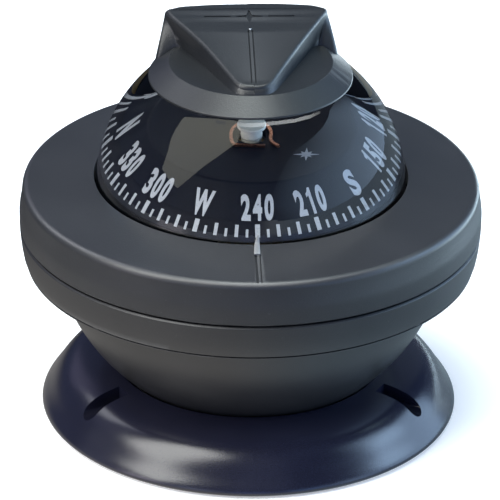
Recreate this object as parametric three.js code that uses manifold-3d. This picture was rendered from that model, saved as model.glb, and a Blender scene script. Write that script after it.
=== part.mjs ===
// Binnacle compass: a liquid-filled, internally gimballed marine compass in a
// spherical bowl that swivels on a low flared base.
// Millimetres, +Z up, helmsman's side (lubber line) towards -Y, left is -X.
// Origin: centre of the base's underside.
// Outlines are lists of [r, z]. A pair named ..._Z or ..._R holds [low, high].
import * as THREE from "three";
import { mergeVertices } from "three/addons/utils/BufferGeometryUtils.js";
import Module from "manifold-3d";

const wasm = await Module();
wasm.setup();

// --------------------------------------------------------- shared dimensions
// facets round a turned piece
const SEG_LARGE = 36;
const SEG_FITTING = 24;
const SEG_MID = 20;
const SEG_HOLE = 16;
const SEG_SMALL = 12;

const BOWL_C = 37.2; // height of the bowl sphere's centre
const FLANGE_R = 42.5; // widest radius, where collar and bezel meet
const SCREW_PCR = 39.5; // pitch radius of the bezel screws
const SCREW_ANGLES = [45, 135, 225, 315]; // degrees from the front
const PLUG_Y = 12.8; // filler plug, behind the centre
const GIMBAL_Z = 38.0; // height of both gimbal axes
const PIN_R = 0.55;
const PIN_HOLE_R = 0.6;
const BEARING_HOLE_R = 0.75;
const PITCH_PIN_X = [23.0, 26.3];
const ROLL_PIN_Y = [20.4, 24.6];
const SPIDER_Z = [50.2, 51.0];
const CAP_SEAT_Z = 51.95; // underside of the jewel cap and its clip

// ------------------------------------------------------------ shape helpers
const deg = (angle) => (angle * Math.PI) / 180;

// A solid of revolution about Z. An outline that does not start and end on
// the axis closes on itself.
function turned(outline, seg = SEG_LARGE) {
  let area = 0;
  outline.forEach(([r, z], i) => {
    const [nextR, nextZ] = outline[(i + 1) % outline.length];
    area += r * nextZ - nextR * z;
  });
  // anticlockwise outlines give faces that point outwards
  const ordered = area > 0 ? outline : [...outline].reverse();
  const points = ordered.map(([r, z]) => new THREE.Vector2(r, z));
  if (points.filter((p) => p.x === 0).length >= 2) {
    // shift the list until it starts and ends on the axis
    while (!(points[0].x === 0 && points.at(-1).x === 0)) points.push(points.shift());
  } else {
    points.push(points[0].clone());
  }
  const geo = new THREE.LatheGeometry(points, seg);
  geo.rotateX(Math.PI / 2);
  return geo;
}

// A turned ring of rectangular section; a disc when the inner radius is 0.
function ring([inner, outer], [low, high], seg) {
  return turned([[inner, low], [outer, low], [outer, high], [inner, high]], seg);
}

// Height of the lower half of a sphere at radius r from the axis.
const sphereUnder = (radius, centreZ, r) => centreZ - Math.sqrt(radius ** 2 - r ** 2);

// Distance of a sphere's surface from the axis at height z.
const sphereWidth = (radius, centreZ, z) => Math.sqrt(radius ** 2 - (z - centreZ) ** 2);

// [r, z] points on a circle at the given angles, in degrees above horizontal.
const arc = (radius, [r, z], angles) =>
  angles.map((a) => [r + radius * Math.cos(deg(a)), z + radius * Math.sin(deg(a))]);

function rod(radius, start, end, seg = SEG_SMALL) {
  const from = new THREE.Vector3(...start);
  const to = new THREE.Vector3(...end);
  const along = to.clone().sub(from);
  const geo = new THREE.CylinderGeometry(radius, radius, along.length(), seg);
  const up = new THREE.Vector3(0, 1, 0);
  geo.applyQuaternion(
    new THREE.Quaternion().setFromUnitVectors(up, along.clone().normalize()),
  );
  geo.translate(...from.add(to).multiplyScalar(0.5).toArray());
  return geo;
}

// Rods on the two gimbal axes, and an upright rod standing at (0, y).
const rodX = (radius, [a, b]) => rod(radius, [a, 0, GIMBAL_Z], [b, 0, GIMBAL_Z]);
const rodY = (radius, [a, b]) => rod(radius, [0, a, GIMBAL_Z], [0, b, GIMBAL_Z]);
const rodZ = (radius, [a, b], y = 0, seg = SEG_SMALL) =>
  rod(radius, [0, y, a], [0, y, b], seg);

// The same [low, high] span on the negative side of the centre.
const negative = ([low, high]) => [-high, -low];

function block(x, y, z) {
  const geo = new THREE.BoxGeometry(x[1] - x[0], y[1] - y[0], z[1] - z[0]);
  geo.translate((x[0] + x[1]) / 2, (y[0] + y[1]) / 2, (z[0] + z[1]) / 2);
  return geo;
}

// Cutter for a groove along Y on a surface that rises to the back by `tilt`
// radians and passes through (pivotY, pivotZ).
function tiltedGroove({ width, y, depth, tilt, pivotY, pivotZ }) {
  const geo = block([-width / 2, width / 2], y, [-depth, 3]);
  geo.translate(0, -pivotY, 0);
  geo.rotateX(tilt);
  geo.translate(0, pivotY, pivotZ);
  return geo;
}

// Cutters for the cross recess of a screw head.
function crossRecess(halfLength, halfWidth, z) {
  const long = [-halfLength, halfLength];
  const wide = [-halfWidth, halfWidth];
  return [block(long, wide, z), block(wide, long, z)];
}

// A unit-deep prism of a flat outline, each vertex then moved by `place`.
function prism(outline, place) {
  const shape = new THREE.Shape(outline.map(([u, v]) => new THREE.Vector2(u, v)));
  const geo = new THREE.ExtrudeGeometry(shape, { depth: 1, bevelEnabled: false });
  const position = geo.attributes.position;
  for (let i = 0; i < position.count; i++) {
    const moved = place(position.getX(i), position.getY(i), position.getZ(i));
    position.setXYZ(i, ...moved);
  }
  return geo;
}

function turn(geo, degrees) {
  geo.rotateZ(deg(degrees));
  return geo;
}

// ---------------------------------------------------------- solid operations
function solid(geo) {
  const bare = geo.clone();
  bare.deleteAttribute("normal");
  bare.deleteAttribute("uv");
  const merged = mergeVertices(bare, 1e-4);
  return new wasm.Manifold(
    new wasm.Mesh({
      numProp: 3,
      vertProperties: new Float32Array(merged.attributes.position.array),
      triVerts: new Uint32Array(merged.index.array),
    }),
  );
}

function geometry(manifold) {
  const mesh = manifold.getMesh();
  const xyz = new Float32Array(mesh.numVert * 3);
  for (let i = 0; i < mesh.numVert; i++) {
    const start = i * mesh.numProp;
    xyz.set(mesh.vertProperties.subarray(start, start + 3), i * 3);
  }
  return new THREE.BufferGeometry()
    .setAttribute("position", new THREE.BufferAttribute(xyz, 3))
    .setIndex(new THREE.BufferAttribute(new Uint32Array(mesh.triVerts), 1));
}

const join = (first, ...more) =>
  geometry(more.reduce((sum, geo) => sum.add(solid(geo)), solid(first)));
const cut = (first, ...tools) =>
  geometry(tools.reduce((rest, geo) => rest.subtract(solid(geo)), solid(first)));
const common = (a, b) => geometry(solid(a).intersect(solid(b)));

// ----------------------------------------------------------------- materials
const standard = (settings) => new THREE.MeshStandardMaterial(settings);
const metal = (color, roughness = 0.35) => standard({ color, roughness, metalness: 1 });
const MATERIAL = {
  housing: standard({ color: 0x3c3e40, roughness: 0.62 }),
  base: standard({ color: 0x1f2228, roughness: 0.38 }),
  rubber: standard({ color: 0x151515, roughness: 0.85 }),
  dome: standard({ color: 0xdfe8ec, roughness: 0.03, opacity: 0.25, transparent: true }),
  pointer: standard({ color: 0xa3a6a8, roughness: 0.5 }),
  capsule: standard({ color: 0x17191c, roughness: 0.5 }),
  card: standard({ color: 0x14161c, roughness: 0.45 }),
  ivory: standard({ color: 0xd9d2bd, roughness: 0.45 }),
  nylon: standard({ color: 0xcfcabb, roughness: 0.6 }),
  brass: metal(0xb08d57),
  steel: metal(0xa8abae),
  copper: metal(0xa5663f),
  magnet: metal(0x4a4c50, 0.4),
};

// ---------------------------------------------------------------------- base
const WEB_Z = [2.0, 3.4]; // thin floor across the middle
const WEB_HOLE_R = 2.3;
const GASKET_GROOVE_R = [32.8, 36.9];
const GASKET_GROOVE_TOP = 1.1;
const BASE_OUTLINE = [
  [WEB_HOLE_R, WEB_Z[0]], [22.5, WEB_Z[0]], [24.0, 0],
  [GASKET_GROOVE_R[0], 0], [GASKET_GROOVE_R[0], GASKET_GROOVE_TOP],
  [GASKET_GROOVE_R[1], GASKET_GROOVE_TOP], [GASKET_GROOVE_R[1], 0],
  // outer flare, going up
  [38.3, 0], [38.6, 0.7], [37.4, 1.9], [36.4, 3.2], [35.6, 4.4], [34.3, 6.0],
  [33.1, 7.5], [32.2, 8.15], [31.0, 8.6], [30.0, 9.0],
  // seat edge, then the hollow down to the web
  [25.0, 9.55], [24.6, 8.6], [23.4, 6.88], [20.3, 4.72],
  [17.9, WEB_Z[1]], [WEB_HOLE_R, WEB_Z[1]],
];
const CHANNEL = { radius: 2.05, z: 7.2, y: [-40, -26.4], top: 12 };
const FIXING = { radius: 1.7, pitchRadius: 29.0, z: [-1, 8], angles: [60, -60, 180] };

// Round-floored channels run out through the flare, each over a fixing hole.
function baseBody() {
  const { radius, z, y, top } = CHANNEL;
  const tools = FIXING.angles.flatMap((angle) =>
    [
      rod(radius, [0, y[1], z], [0, y[0], z], SEG_FITTING),
      block([-radius, radius], y, [z, top]),
      rodZ(FIXING.radius, FIXING.z, -FIXING.pitchRadius, SEG_MID),
    ].map((tool) => turn(tool, angle)),
  );
  return cut(turned(BASE_OUTLINE), ...tools);
}

// A spherical band concentric with the bowl.
function frictionRing() {
  const sphereR = [37.3, 38.05];
  const stations = [20.6, 21.8, 23.0];
  return turned([
    ...stations.map((r) => [r, sphereUnder(sphereR[1], BOWL_C, r)]),
    ...stations.reverse().map((r) => [r, sphereUnder(sphereR[0], BOWL_C, r)]),
  ]);
}

// ---------------------------------------------------------------------- bowl
const BOWL_R = 37.0;
const BOWL_IN_R = 34.6;
const BOWL_FLOOR_Z = [4.2, 7.2];
const BOWL_RIM = { innerR: 34.4, outerR: 37.6, innerZ: 33.2, outerZ: 33.5, top: 38.3 };
const BOSS = { boreR: 2.7, outerR: 7.0, top: 12.0 }; // centre of the floor

function bowlShell() {
  const [floorLow, floorHigh] = BOWL_FLOOR_Z;
  return turned([
    [BOSS.boreR, floorLow],
    [sphereWidth(BOWL_R, BOWL_C, floorLow), floorLow],
    ...[20.5, 24.6, 29.0, 32.8, 35.6].map((r) => [r, sphereUnder(BOWL_R, BOWL_C, r)]),
    [36.75, BOWL_RIM.outerZ],
    [BOWL_RIM.outerR, BOWL_RIM.outerZ],
    [BOWL_RIM.outerR, BOWL_RIM.top],
    [BOWL_RIM.innerR, BOWL_RIM.top],
    [BOWL_RIM.innerR, BOWL_RIM.innerZ],
    ...[32.4, 27.6, 22.6, 17.6].map((r) => [r, sphereUnder(BOWL_IN_R, BOWL_C, r)]),
    [BOSS.outerR, floorHigh],
    [BOSS.outerR, BOSS.top],
    [BOSS.boreR, BOSS.top],
  ]);
}

function swivelScrew() {
  const outline = [
    [0, 0.35], [4.0, 0.35], [4.4, 0.7], [4.4, 1.45], [1.5, 1.45], [1.5, 10.5], [0, 10.5],
  ];
  return cut(turned(outline, SEG_FITTING), ...crossRecess(2.4, 0.45, [0, 0.95]));
}

function springWasher() {
  const outline = [[1.7, 1.5], [4.0, 1.5], [4.0, 1.75], [2.2, 1.93], [1.7, 1.93]];
  return turned(outline, SEG_FITTING);
}

// ---------------------------------------------------------- collar and bezel
const COLLAR_Z = [30.07, 37.3];
const COLLAR_LOW_R = 41.5;
const COLLAR_BORE = { lowR: 37.0, highR: 37.75, stepZ: 33.3 };
const BEZEL_Z = 37.7;
const OPENING = { r: 28.78, top: 46.69, bottom: 43.8 };
const BEZEL_TILT = 0.1318; // slope of the bezel's top face, radians

const screwHoles = (radius, z, seg) =>
  SCREW_ANGLES.map((angle) => turn(rodZ(radius, z, -SCREW_PCR, seg), angle));

function collar() {
  const [low, high] = COLLAR_Z;
  const { lowR, highR, stepZ } = COLLAR_BORE;
  const body = turned([
    [lowR, low], [COLLAR_LOW_R, low],
    [FLANGE_R - 0.03, high - 0.25], [FLANGE_R - 0.25, high],
    [highR, high], [highR, stepZ], [lowR, stepZ],
  ]);
  const shankHoles = screwHoles(1.05, [29, 39]);
  const headRecesses = screwHoles(1.7, [29, 32.0], SEG_HOLE);
  return cut(body, ...shankHoles, ...headRecesses);
}

function bezel() {
  const body = turned([
    [OPENING.r, OPENING.top],
    [38.5, 45.4], [40.1, 45.05], [41.0, 44.65], [41.9, 43.8], [42.35, 42.8], [42.45, 41.5],
    [FLANGE_R, BEZEL_Z], [37.8, BEZEL_Z], [37.8, 40.6], [33.5, 40.6],
    [33.5, OPENING.bottom], [OPENING.r, OPENING.bottom],
  ]);
  // sighting groove from the pointer out to the rim
  const groove = tiltedGroove({
    width: 1, y: [-43, -34.2], depth: 0.3, tilt: BEZEL_TILT, pivotY: -38, pivotZ: 45.47,
  });
  const pointerSeat = tiltedGroove({
    width: 1.3, y: [-34.5, -28], depth: 0.35, tilt: BEZEL_TILT, pivotY: -31, pivotZ: 46.39,
  });
  return cut(body, groove, pointerSeat, ...screwHoles(0.8, [36, 43.0]));
}

function bezelScrew(angle) {
  const outline = [
    [0, 30.35], [1.3, 30.35], [1.55, 30.7], [1.55, 31.9], [0.7, 31.9], [0.7, 41.5], [0, 42.4],
  ];
  const screw = cut(turned(outline, SEG_SMALL), ...crossRecess(0.75, 0.2, [30, 30.9]));
  screw.translate(0, -SCREW_PCR, 0);
  return turn(screw, angle);
}

// ------------------------------------------------------------ lubber pointer
// Side view as [y, z]: foot let into the bezel, tip standing up along the dome.
const POINTER_SIDE = [
  [-34.1, 45.72], [-34.1, 46.12], [-33.6, 46.4], [-29.6, 47.0], [-29.1, 47.5],
  [-28.85, 48.5], [-28.6, 48.55], [-28.72, 47.4], [-28.85, 46.5], [-29.1, 46.36],
];
const POINTER_WIDTH = { foot: 1.1, tip: 0.4 };

// The taper depends on how far a point lies along the foot and up the tip.
function lubberPointer() {
  const taper = POINTER_WIDTH.foot - POINTER_WIDTH.tip;
  return prism(POINTER_SIDE, (y, z, across) => {
    const alongFoot = (y + 34.1) / 4.5;
    const upTip = (z - 46.1) / 2.4;
    const progress = Math.min(1, Math.max(0, alongFoot * 0.6 + upTip * 0.4));
    return [(across - 0.5) * (POINTER_WIDTH.foot - taper * progress), y, z];
  });
}

// ---------------------------------------------------------------------- dome
const DOME_R = 28.44;
const DOME_IN_R = 26.4;
const DOME_C = 44.65; // height of the centre
const DOME_TOP = 67.9; // flat crown
const DOME_IN_TOP = 66.0;
const DOME_FLANGE = { r: 33.2, z: [41.3, 43.6] };

function dome() {
  return turned([
    [0, DOME_TOP],
    [sphereWidth(DOME_R, DOME_C, DOME_TOP), DOME_TOP],
    ...arc(DOME_R, [0, DOME_C], [44, 33, 22, 11, 0]),
    [DOME_R, DOME_FLANGE.z[1]],
    [DOME_FLANGE.r, DOME_FLANGE.z[1]],
    [DOME_FLANGE.r, DOME_FLANGE.z[0]],
    [DOME_IN_R, DOME_FLANGE.z[0]],
    ...arc(DOME_IN_R, [0, DOME_C], [0, 16, 32, 46]),
    [sphereWidth(DOME_IN_R, DOME_C, DOME_IN_TOP), DOME_IN_TOP],
    [0, DOME_IN_TOP],
  ]);
}

const domeOring = () =>
  turned(arc(0.6, [30.5, 40.45], [0, 60, 120, 180, 240, 300]), SEG_FITTING);

// ---------------------------------------------------------------------- hood
const HOOD_R = 18.4;
const HOOD_Z = 66.8; // lower edge
const HOOD_FLOOR = { r: 14.9, z: 69.5 };
const WEDGE = {
  tipY: -13.8,
  tipHalfWidth: 2.9,
  tipDepth: 0.6, // how far the rounded tip reaches back
  backY: 18,
  spread: 0.434, // half-width gained per mm towards the back
  topY: -14, // the top face passes through (topY, topZ)
  topZ: 71.0,
  rise: 0.165, // height gained per mm towards the back
  footZ: 68.7,
};

// Plan of the wedge as [x, y]: rounded tip in front, widening to the back.
function wedgePlan() {
  const { tipY, tipHalfWidth, tipDepth, backY, spread } = WEDGE;
  const right = [];
  for (let i = 1; i <= 6; i++) {
    const angle = deg(i * 15);
    right.push([tipHalfWidth * Math.sin(angle), tipY + tipDepth * (1 - Math.cos(angle))]);
  }
  right.push([tipHalfWidth + (backY - (tipY + tipDepth)) * spread, backY]);
  const left = [...right].reverse().map(([x, y]) => [-x, y]);
  return [[0, tipY], ...right, ...left];
}

// Raised wedge with a flared foot, trimmed to a cone and sloped off behind.
function hoodWedge() {
  const { topY, topZ, rise, footZ } = WEDGE;
  const wedge = prism(wedgePlan(), (x, y, level) =>
    level > 0.5
      ? [x, y, topZ + (y - topY) * rise]
      : [x * 1.04 + Math.sign(x) * 0.25, y - (y < 0 ? 0.35 : 0), footZ],
  );
  const cone = turned([[0, 68.6], [17.5, 68.6], [16.2, 76.5], [0, 76.5]]);
  const backCutter = block([-30, 30], [0, 20], [-20, 20]);
  backCutter.rotateX(deg(34.6));
  backCutter.translate(0, 12.6, 75.4);
  return cut(common(cone, wedge), backCutter);
}

function hood() {
  const dish = turned([
    [0, 68.5], [13.3, 68.5], [13.3, 68.1], [16.5, 68.1],
    [HOOD_R - 0.15, HOOD_Z], [HOOD_R, HOOD_Z + 0.1], [HOOD_R - 0.1, HOOD_Z + 0.5],
    [HOOD_FLOOR.r, HOOD_FLOOR.z], [0, HOOD_FLOOR.z],
  ]);
  const centreGroove = tiltedGroove({
    width: 1, y: [-20, 2.5], depth: 0.35,
    tilt: Math.atan(WEDGE.rise), pivotY: WEDGE.topY, pivotZ: WEDGE.topZ,
  });
  return cut(join(dish, hoodWedge()), centreGroove);
}

// ------------------------------------------------------------ liquid capsule
const CUP_R = 27.5; // inside
const CUP_C = 41.0; // height of the centre
const CUP_WALL = 1.5;
const CUP_FLOOR = 19.0;
const CUP_FLOOR_HOLE_R = 7.0;
const CUP_RIM_Z = [38.45, 40.4];
const CUP_RIM_R = 37.6;
const CUP_GROOVE = { r: [29.55, 31.45], z: 39.6 }; // under the O-ring

function capsuleCup() {
  const outerR = CUP_R + CUP_WALL;
  const underside = CUP_FLOOR - CUP_WALL;
  const [rimLow, rimHigh] = CUP_RIM_Z;
  const wall = (radius, heights) => heights.map((z) => [sphereWidth(radius, CUP_C, z), z]);
  const body = turned([
    [CUP_R - 0.02, rimHigh],
    [CUP_GROOVE.r[0], rimHigh], [CUP_GROOVE.r[0], CUP_GROOVE.z],
    [CUP_GROOVE.r[1], CUP_GROOVE.z], [CUP_GROOVE.r[1], rimHigh],
    [CUP_RIM_R, rimHigh], [CUP_RIM_R, rimLow], [outerR, rimLow],
    ...wall(outerR, [33, 26, 21, underside]),
    [CUP_FLOOR_HOLE_R, underside], [CUP_FLOOR_HOLE_R, CUP_FLOOR],
    ...wall(CUP_R, [CUP_FLOOR, 22, 27, 33]),
  ]);
  return cut(body, rodZ(1.6, [16, 21], PLUG_Y, SEG_HOLE));
}

function diaphragm() {
  const outline = [
    [0, 17.9], [3.0, 17.9], [4.2, 18.6], [5.4, 18.6], [6.2, 17.4], [10.4, 17.4],
    [10.4, 16.6], [5.8, 16.6], [5.0, 17.8], [4.5, 17.8], [3.3, 17.1], [0, 17.1],
  ];
  return turned(outline, SEG_MID);
}

function fillerPlug() {
  const outline = [[0, 15.4], [2.3, 15.4], [2.3, 16.6], [1.45, 16.6], [1.45, 18.9], [0, 18.9]];
  const slot = block([-1.7, 1.7], [-0.3, 0.3], [15, 15.9]);
  return cut(turned(outline, SEG_SMALL), slot).translate(0, PLUG_Y, 0);
}

const plugSeal = () => ring([1.65, 2.25], [16.7, 17.4], SEG_SMALL).translate(0, PLUG_Y, 0);

// side is -1 for left, 1 for right
function gimbalBearing(side) {
  const body = rodX(1.6, [side * 25.4, side * 26.6]);
  return cut(body, rodX(BEARING_HOLE_R, [side * 25, side * 28]));
}

// -------------------------------------------------- gimbal ring, pivot frame
function gimbalRing() {
  const halfHeight = 0.9;
  return cut(
    ring([22.9, 24.9], [GIMBAL_Z - halfHeight, GIMBAL_Z + halfHeight], SEG_LARGE),
    rodX(PIN_HOLE_R, [-28, 28]),
    rodY(BEARING_HOLE_R, [-28, 28]),
  );
}

function pivotFrame() {
  const halfHeight = 1.2;
  const beam = block([-2.6, 2.6], [-22.2, 22.2], [GIMBAL_Z - halfHeight, GIMBAL_Z + halfHeight]);
  const postOutline = [[0, 34], [4.0, 34], [4.0, 41], [1.8, 43], [1.6, 49.0], [0, 49.0]];
  const stem = rodZ(2.0, [26.0, 35.0]);
  const pinHoleY = [20.2, 23];
  return cut(
    join(beam, turned(postOutline, SEG_FITTING), stem),
    rodZ(0.65, [45.9, 50]), // needle hole
    rodY(PIN_HOLE_R, negative(pinHoleY)),
    rodY(PIN_HOLE_R, pinHoleY),
  );
}

function counterweight() {
  const outline = [
    [2.15, 25.6], [6.4, 25.6], [7.0, 26.4], [7.0, 33.2], [6.4, 33.9], [2.15, 33.9],
  ];
  return turned(outline, SEG_FITTING);
}

function pivotNeedle() {
  const outline = [[0, 46.0], [0.55, 46.0], [0.55, 50.3], [0.08, 51.15], [0, 51.15]];
  return turned(outline, SEG_SMALL);
}

// ---------------------------------------------------------------------- card
const CARD = { edge: [20.9, 44.2], top: [14.4, 51.9], holeR: 2.0, thickness: 0.8 };
const MAGNET = { x: [4.8, 7.4], y: [-7.5, 7.5], z: [47.5, 50.15] };

// A flat top with a conical skirt.
function compassCard() {
  const [edgeR, edgeZ] = CARD.edge;
  const [topR, topZ] = CARD.top;
  const underTop = topZ - CARD.thickness;
  return turned([
    CARD.edge, CARD.top, [CARD.holeR, topZ], [CARD.holeR, underTop],
    [topR - 0.4, underTop], [edgeR - 0.75, edgeZ - 0.5],
  ]);
}

function cardSpider() {
  const armX = [3.6, 8.2];
  const armY = [-2.2, 2.2];
  return join(
    ring([2.5, 4.6], SPIDER_Z, SEG_FITTING),
    block(negative(armX), armY, SPIDER_Z),
    block(armX, armY, SPIDER_Z),
  );
}

function jewelCup() {
  const outline = [[0, 51.35], [0.75, 50.5], [1.4, 50.5], [1.4, 51.85], [0, 51.85]];
  return turned(outline, SEG_SMALL);
}

function jewelCap() {
  const outline = [
    [0, CAP_SEAT_Z], [1.5, CAP_SEAT_Z], [1.5, 53.35], [2.0, 53.45],
    [2.0, 53.85], [1.8, 54.0], [0, 54.0],
  ];
  return turned(outline, SEG_SMALL);
}

// Open ring round the cap, its gap in front and to the right.
function cardClip() {
  const body = ring([2.7, 3.4], [CAP_SEAT_Z, 52.25], SEG_FITTING);
  return cut(body, block([1.4, 2.3], [-4, 0], [51, 53]));
}

// ------------------------------------------------------------------ assembly
const { housing, rubber, nylon, brass, steel, magnet } = MATERIAL;

// group: [mesh name, geometry, material]
const PIECES = {
  base: [
    ["base", baseBody(), MATERIAL.base],
    ["base_gasket", ring([33.0, 36.7], [0, 1.0]), rubber],
    ["friction_ring", frictionRing(), rubber],
    ["friction_disc", ring([3.0, 15.5], [3.45, 4.05], SEG_MID), nylon],
  ],
  bowl: [
    ["bowl", bowlShell(), housing],
    ["threaded_insert", ring([1.65, 2.6], [4.3, 11.6], SEG_SMALL), brass],
    ["swivel_screw", swivelScrew(), steel],
    ["spring_washer", springWasher(), steel],
    ["collar", collar(), housing],
    ["bezel", bezel(), housing],
    ...SCREW_ANGLES.map((angle, i) => [`bezel_screw_${i + 1}`, bezelScrew(angle), steel]),
    ["lubber_pointer", lubberPointer(), MATERIAL.pointer],
    ["dome", dome(), MATERIAL.dome],
    ["dome_oring", domeOring(), rubber],
    ["hood", hood(), housing],
    ["hood_pad", ring([0, 13.0], [67.95, 68.4], SEG_MID), rubber],
    ["capsule_cup", capsuleCup(), MATERIAL.capsule],
    ["diaphragm", diaphragm(), rubber],
    ["diaphragm_ring", ring([7.6, 10.4], [15.1, 16.5], SEG_MID), steel],
    ["filler_plug", fillerPlug(), brass],
    ["plug_seal", plugSeal(), rubber],
    ["gimbal_bearing_left", gimbalBearing(-1), brass],
    ["gimbal_bearing_right", gimbalBearing(1), brass],
  ],
  gimbal_ring: [
    ["gimbal_ring", gimbalRing(), brass],
    ["pitch_pin_left", rodX(PIN_R, negative(PITCH_PIN_X)), steel],
    ["pitch_pin_right", rodX(PIN_R, PITCH_PIN_X), steel],
  ],
  pivot_frame: [
    ["pivot_frame", pivotFrame(), brass],
    ["roll_pin_front", rodY(PIN_R, negative(ROLL_PIN_Y)), steel],
    ["roll_pin_back", rodY(PIN_R, ROLL_PIN_Y), steel],
    ["counterweight", counterweight(), brass],
    ["pivot_needle", pivotNeedle(), steel],
  ],
  card: [
    ["compass_card", compassCard(), MATERIAL.card],
    ["card_spider", cardSpider(), steel],
    ["jewel_cup", jewelCup(), nylon],
    ["jewel_cap", jewelCap(), MATERIAL.ivory],
    ["card_clip", cardClip(), MATERIAL.copper],
    ["magnet_left", block(negative(MAGNET.x), MAGNET.y, MAGNET.z), magnet],
    ["magnet_right", block(MAGNET.x, MAGNET.y, MAGNET.z), magnet],
  ],
};

const compass = new THREE.Group();
for (const pieces of Object.values(PIECES)) {
  const group = new THREE.Group();
  for (const [name, geo, material] of pieces) {
    const mesh = new THREE.Mesh(geo, material);
    mesh.name = name;
    group.add(mesh);
  }
  compass.add(group);
}

export default compass;
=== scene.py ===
# A small binnacle compass: flared base, tilting bowl with a clear dome, gimballed card, raised hood.
# It stands on z = 0 with its axis on Z. The front is -Y, right is +X. Bearings of pieces and
# lights are in degrees. Pieces are drawn in millimetres; MM turns them into metres.
import bpy
import bmesh
import math
import random
from mathutils import Vector, Matrix


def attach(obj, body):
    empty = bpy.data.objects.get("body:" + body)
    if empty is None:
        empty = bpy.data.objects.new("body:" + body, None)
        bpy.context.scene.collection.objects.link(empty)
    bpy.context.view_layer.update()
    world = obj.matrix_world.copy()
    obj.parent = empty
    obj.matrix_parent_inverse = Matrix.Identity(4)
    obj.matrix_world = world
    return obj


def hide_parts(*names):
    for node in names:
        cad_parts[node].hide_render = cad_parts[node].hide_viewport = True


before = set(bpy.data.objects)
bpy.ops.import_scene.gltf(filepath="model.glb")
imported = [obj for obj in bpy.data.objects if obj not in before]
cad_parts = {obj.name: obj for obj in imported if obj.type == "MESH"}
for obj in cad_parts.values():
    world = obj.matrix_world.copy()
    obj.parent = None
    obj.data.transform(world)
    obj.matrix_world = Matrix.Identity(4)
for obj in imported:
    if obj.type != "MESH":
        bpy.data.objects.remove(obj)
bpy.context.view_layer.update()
random.seed(7)
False  # quick and full builds are the same here
MM = 0.001

# Driving dimensions, mm
BOWL_Z = 37.2       # centre of the bowl's sphere
CAPSULE_Z = 41.0    # centre of the liquid capsule's sphere
GIMBAL_Z = 38.0     # height of both gimbal axes
DOME_Z, DOME_R, DOME_TOP = 44.65, 28.44, 67.9
DOME_IN_R, DOME_IN_TOP = 26.4, 66.0
SCREW_CIRCLE = 39.5  # radius the four case screws stand on
SCREW_ANGLES = (45, 135, 225, 315)
FILLER_Y = 12.8     # filler plug's place, behind the axis


def rad(degrees):
    return degrees * math.pi / 180.0


def clamp(value):
    return max(0.0, min(1.0, value))


# ------------------------------------------------------------------ materials
class Graph:
    """A cleared shader tree. Inputs take a number, a 3-part colour, a socket or a node."""

    def __init__(self, tree):
        tree.nodes.clear()
        self.tree = tree

    def add(self, kind, inputs=None, **props):
        new = self.tree.nodes.new("ShaderNode" + kind)
        for key, value in props.items():
            setattr(new, key, value)
        for key, value in (inputs or {}).items():
            socket = new.inputs[key]
            if isinstance(value, bpy.types.Node):
                value = value.outputs[0]
            if isinstance(value, bpy.types.NodeSocket):
                self.tree.links.new(value, socket)
            else:
                socket.default_value = (*value, 1) if socket.type == "RGBA" else value
        return new

    def object_space(self):
        return self.add("TexCoord").outputs["Object"]

    def noise(self, vector, scale, detail, roughness=0.5):
        return self.add("TexNoise", {"Vector": vector, "Scale": scale, "Detail": detail,
                                     "Roughness": roughness})

    def ramp(self, factor, stops):
        """stops: (position, grey or colour)."""
        new = self.add("ValToRGB", {"Fac": factor})
        elements = new.color_ramp.elements
        while len(elements) < len(stops):
            elements.new(0.5)
        for element, (position, color) in zip(elements, stops):
            element.position = position
            element.color = (*(color if isinstance(color, tuple) else (color,) * 3), 1)
        return new

    def mix(self, factor, first, second, **props):
        new = self.add("Mix", data_type="RGBA", inputs={0: factor, 6: first, 7: second}, **props)
        return new.outputs[2]

    def math(self, operation, *values, clamped=False):
        return self.add("Math", dict(enumerate(values)), operation=operation, use_clamp=clamped)

    def plus(self, a, b):
        return self.math("ADD", a, b)

    def times(self, a, b):
        return self.math("MULTIPLY", a, b)

    def spread(self, value, low, high):
        """0..1 stretched to low..high."""
        return self.add("MapRange", {0: value, 3: low, 4: high})

    def between(self, value, start, end):
        """Smooth step from 0 at start to 1 at end."""
        return self.add("MapRange", {0: value, 1: start, 2: end}, interpolation_type="SMOOTHSTEP")

    def bump(self, height, strength, depth):
        return self.add("Bump", {"Height": height, "Strength": strength, "Distance": depth * MM})

    def mix_shader(self, factor, first, second):
        return self.add("MixShader", {0: factor, 1: first, 2: second})

    def surface(self, shader):
        self.add("OutputMaterial", {"Surface": shader})


def new_material(name):
    material = bpy.data.materials.new(name)
    material.use_nodes = True
    return material, Graph(material.node_tree)


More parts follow.
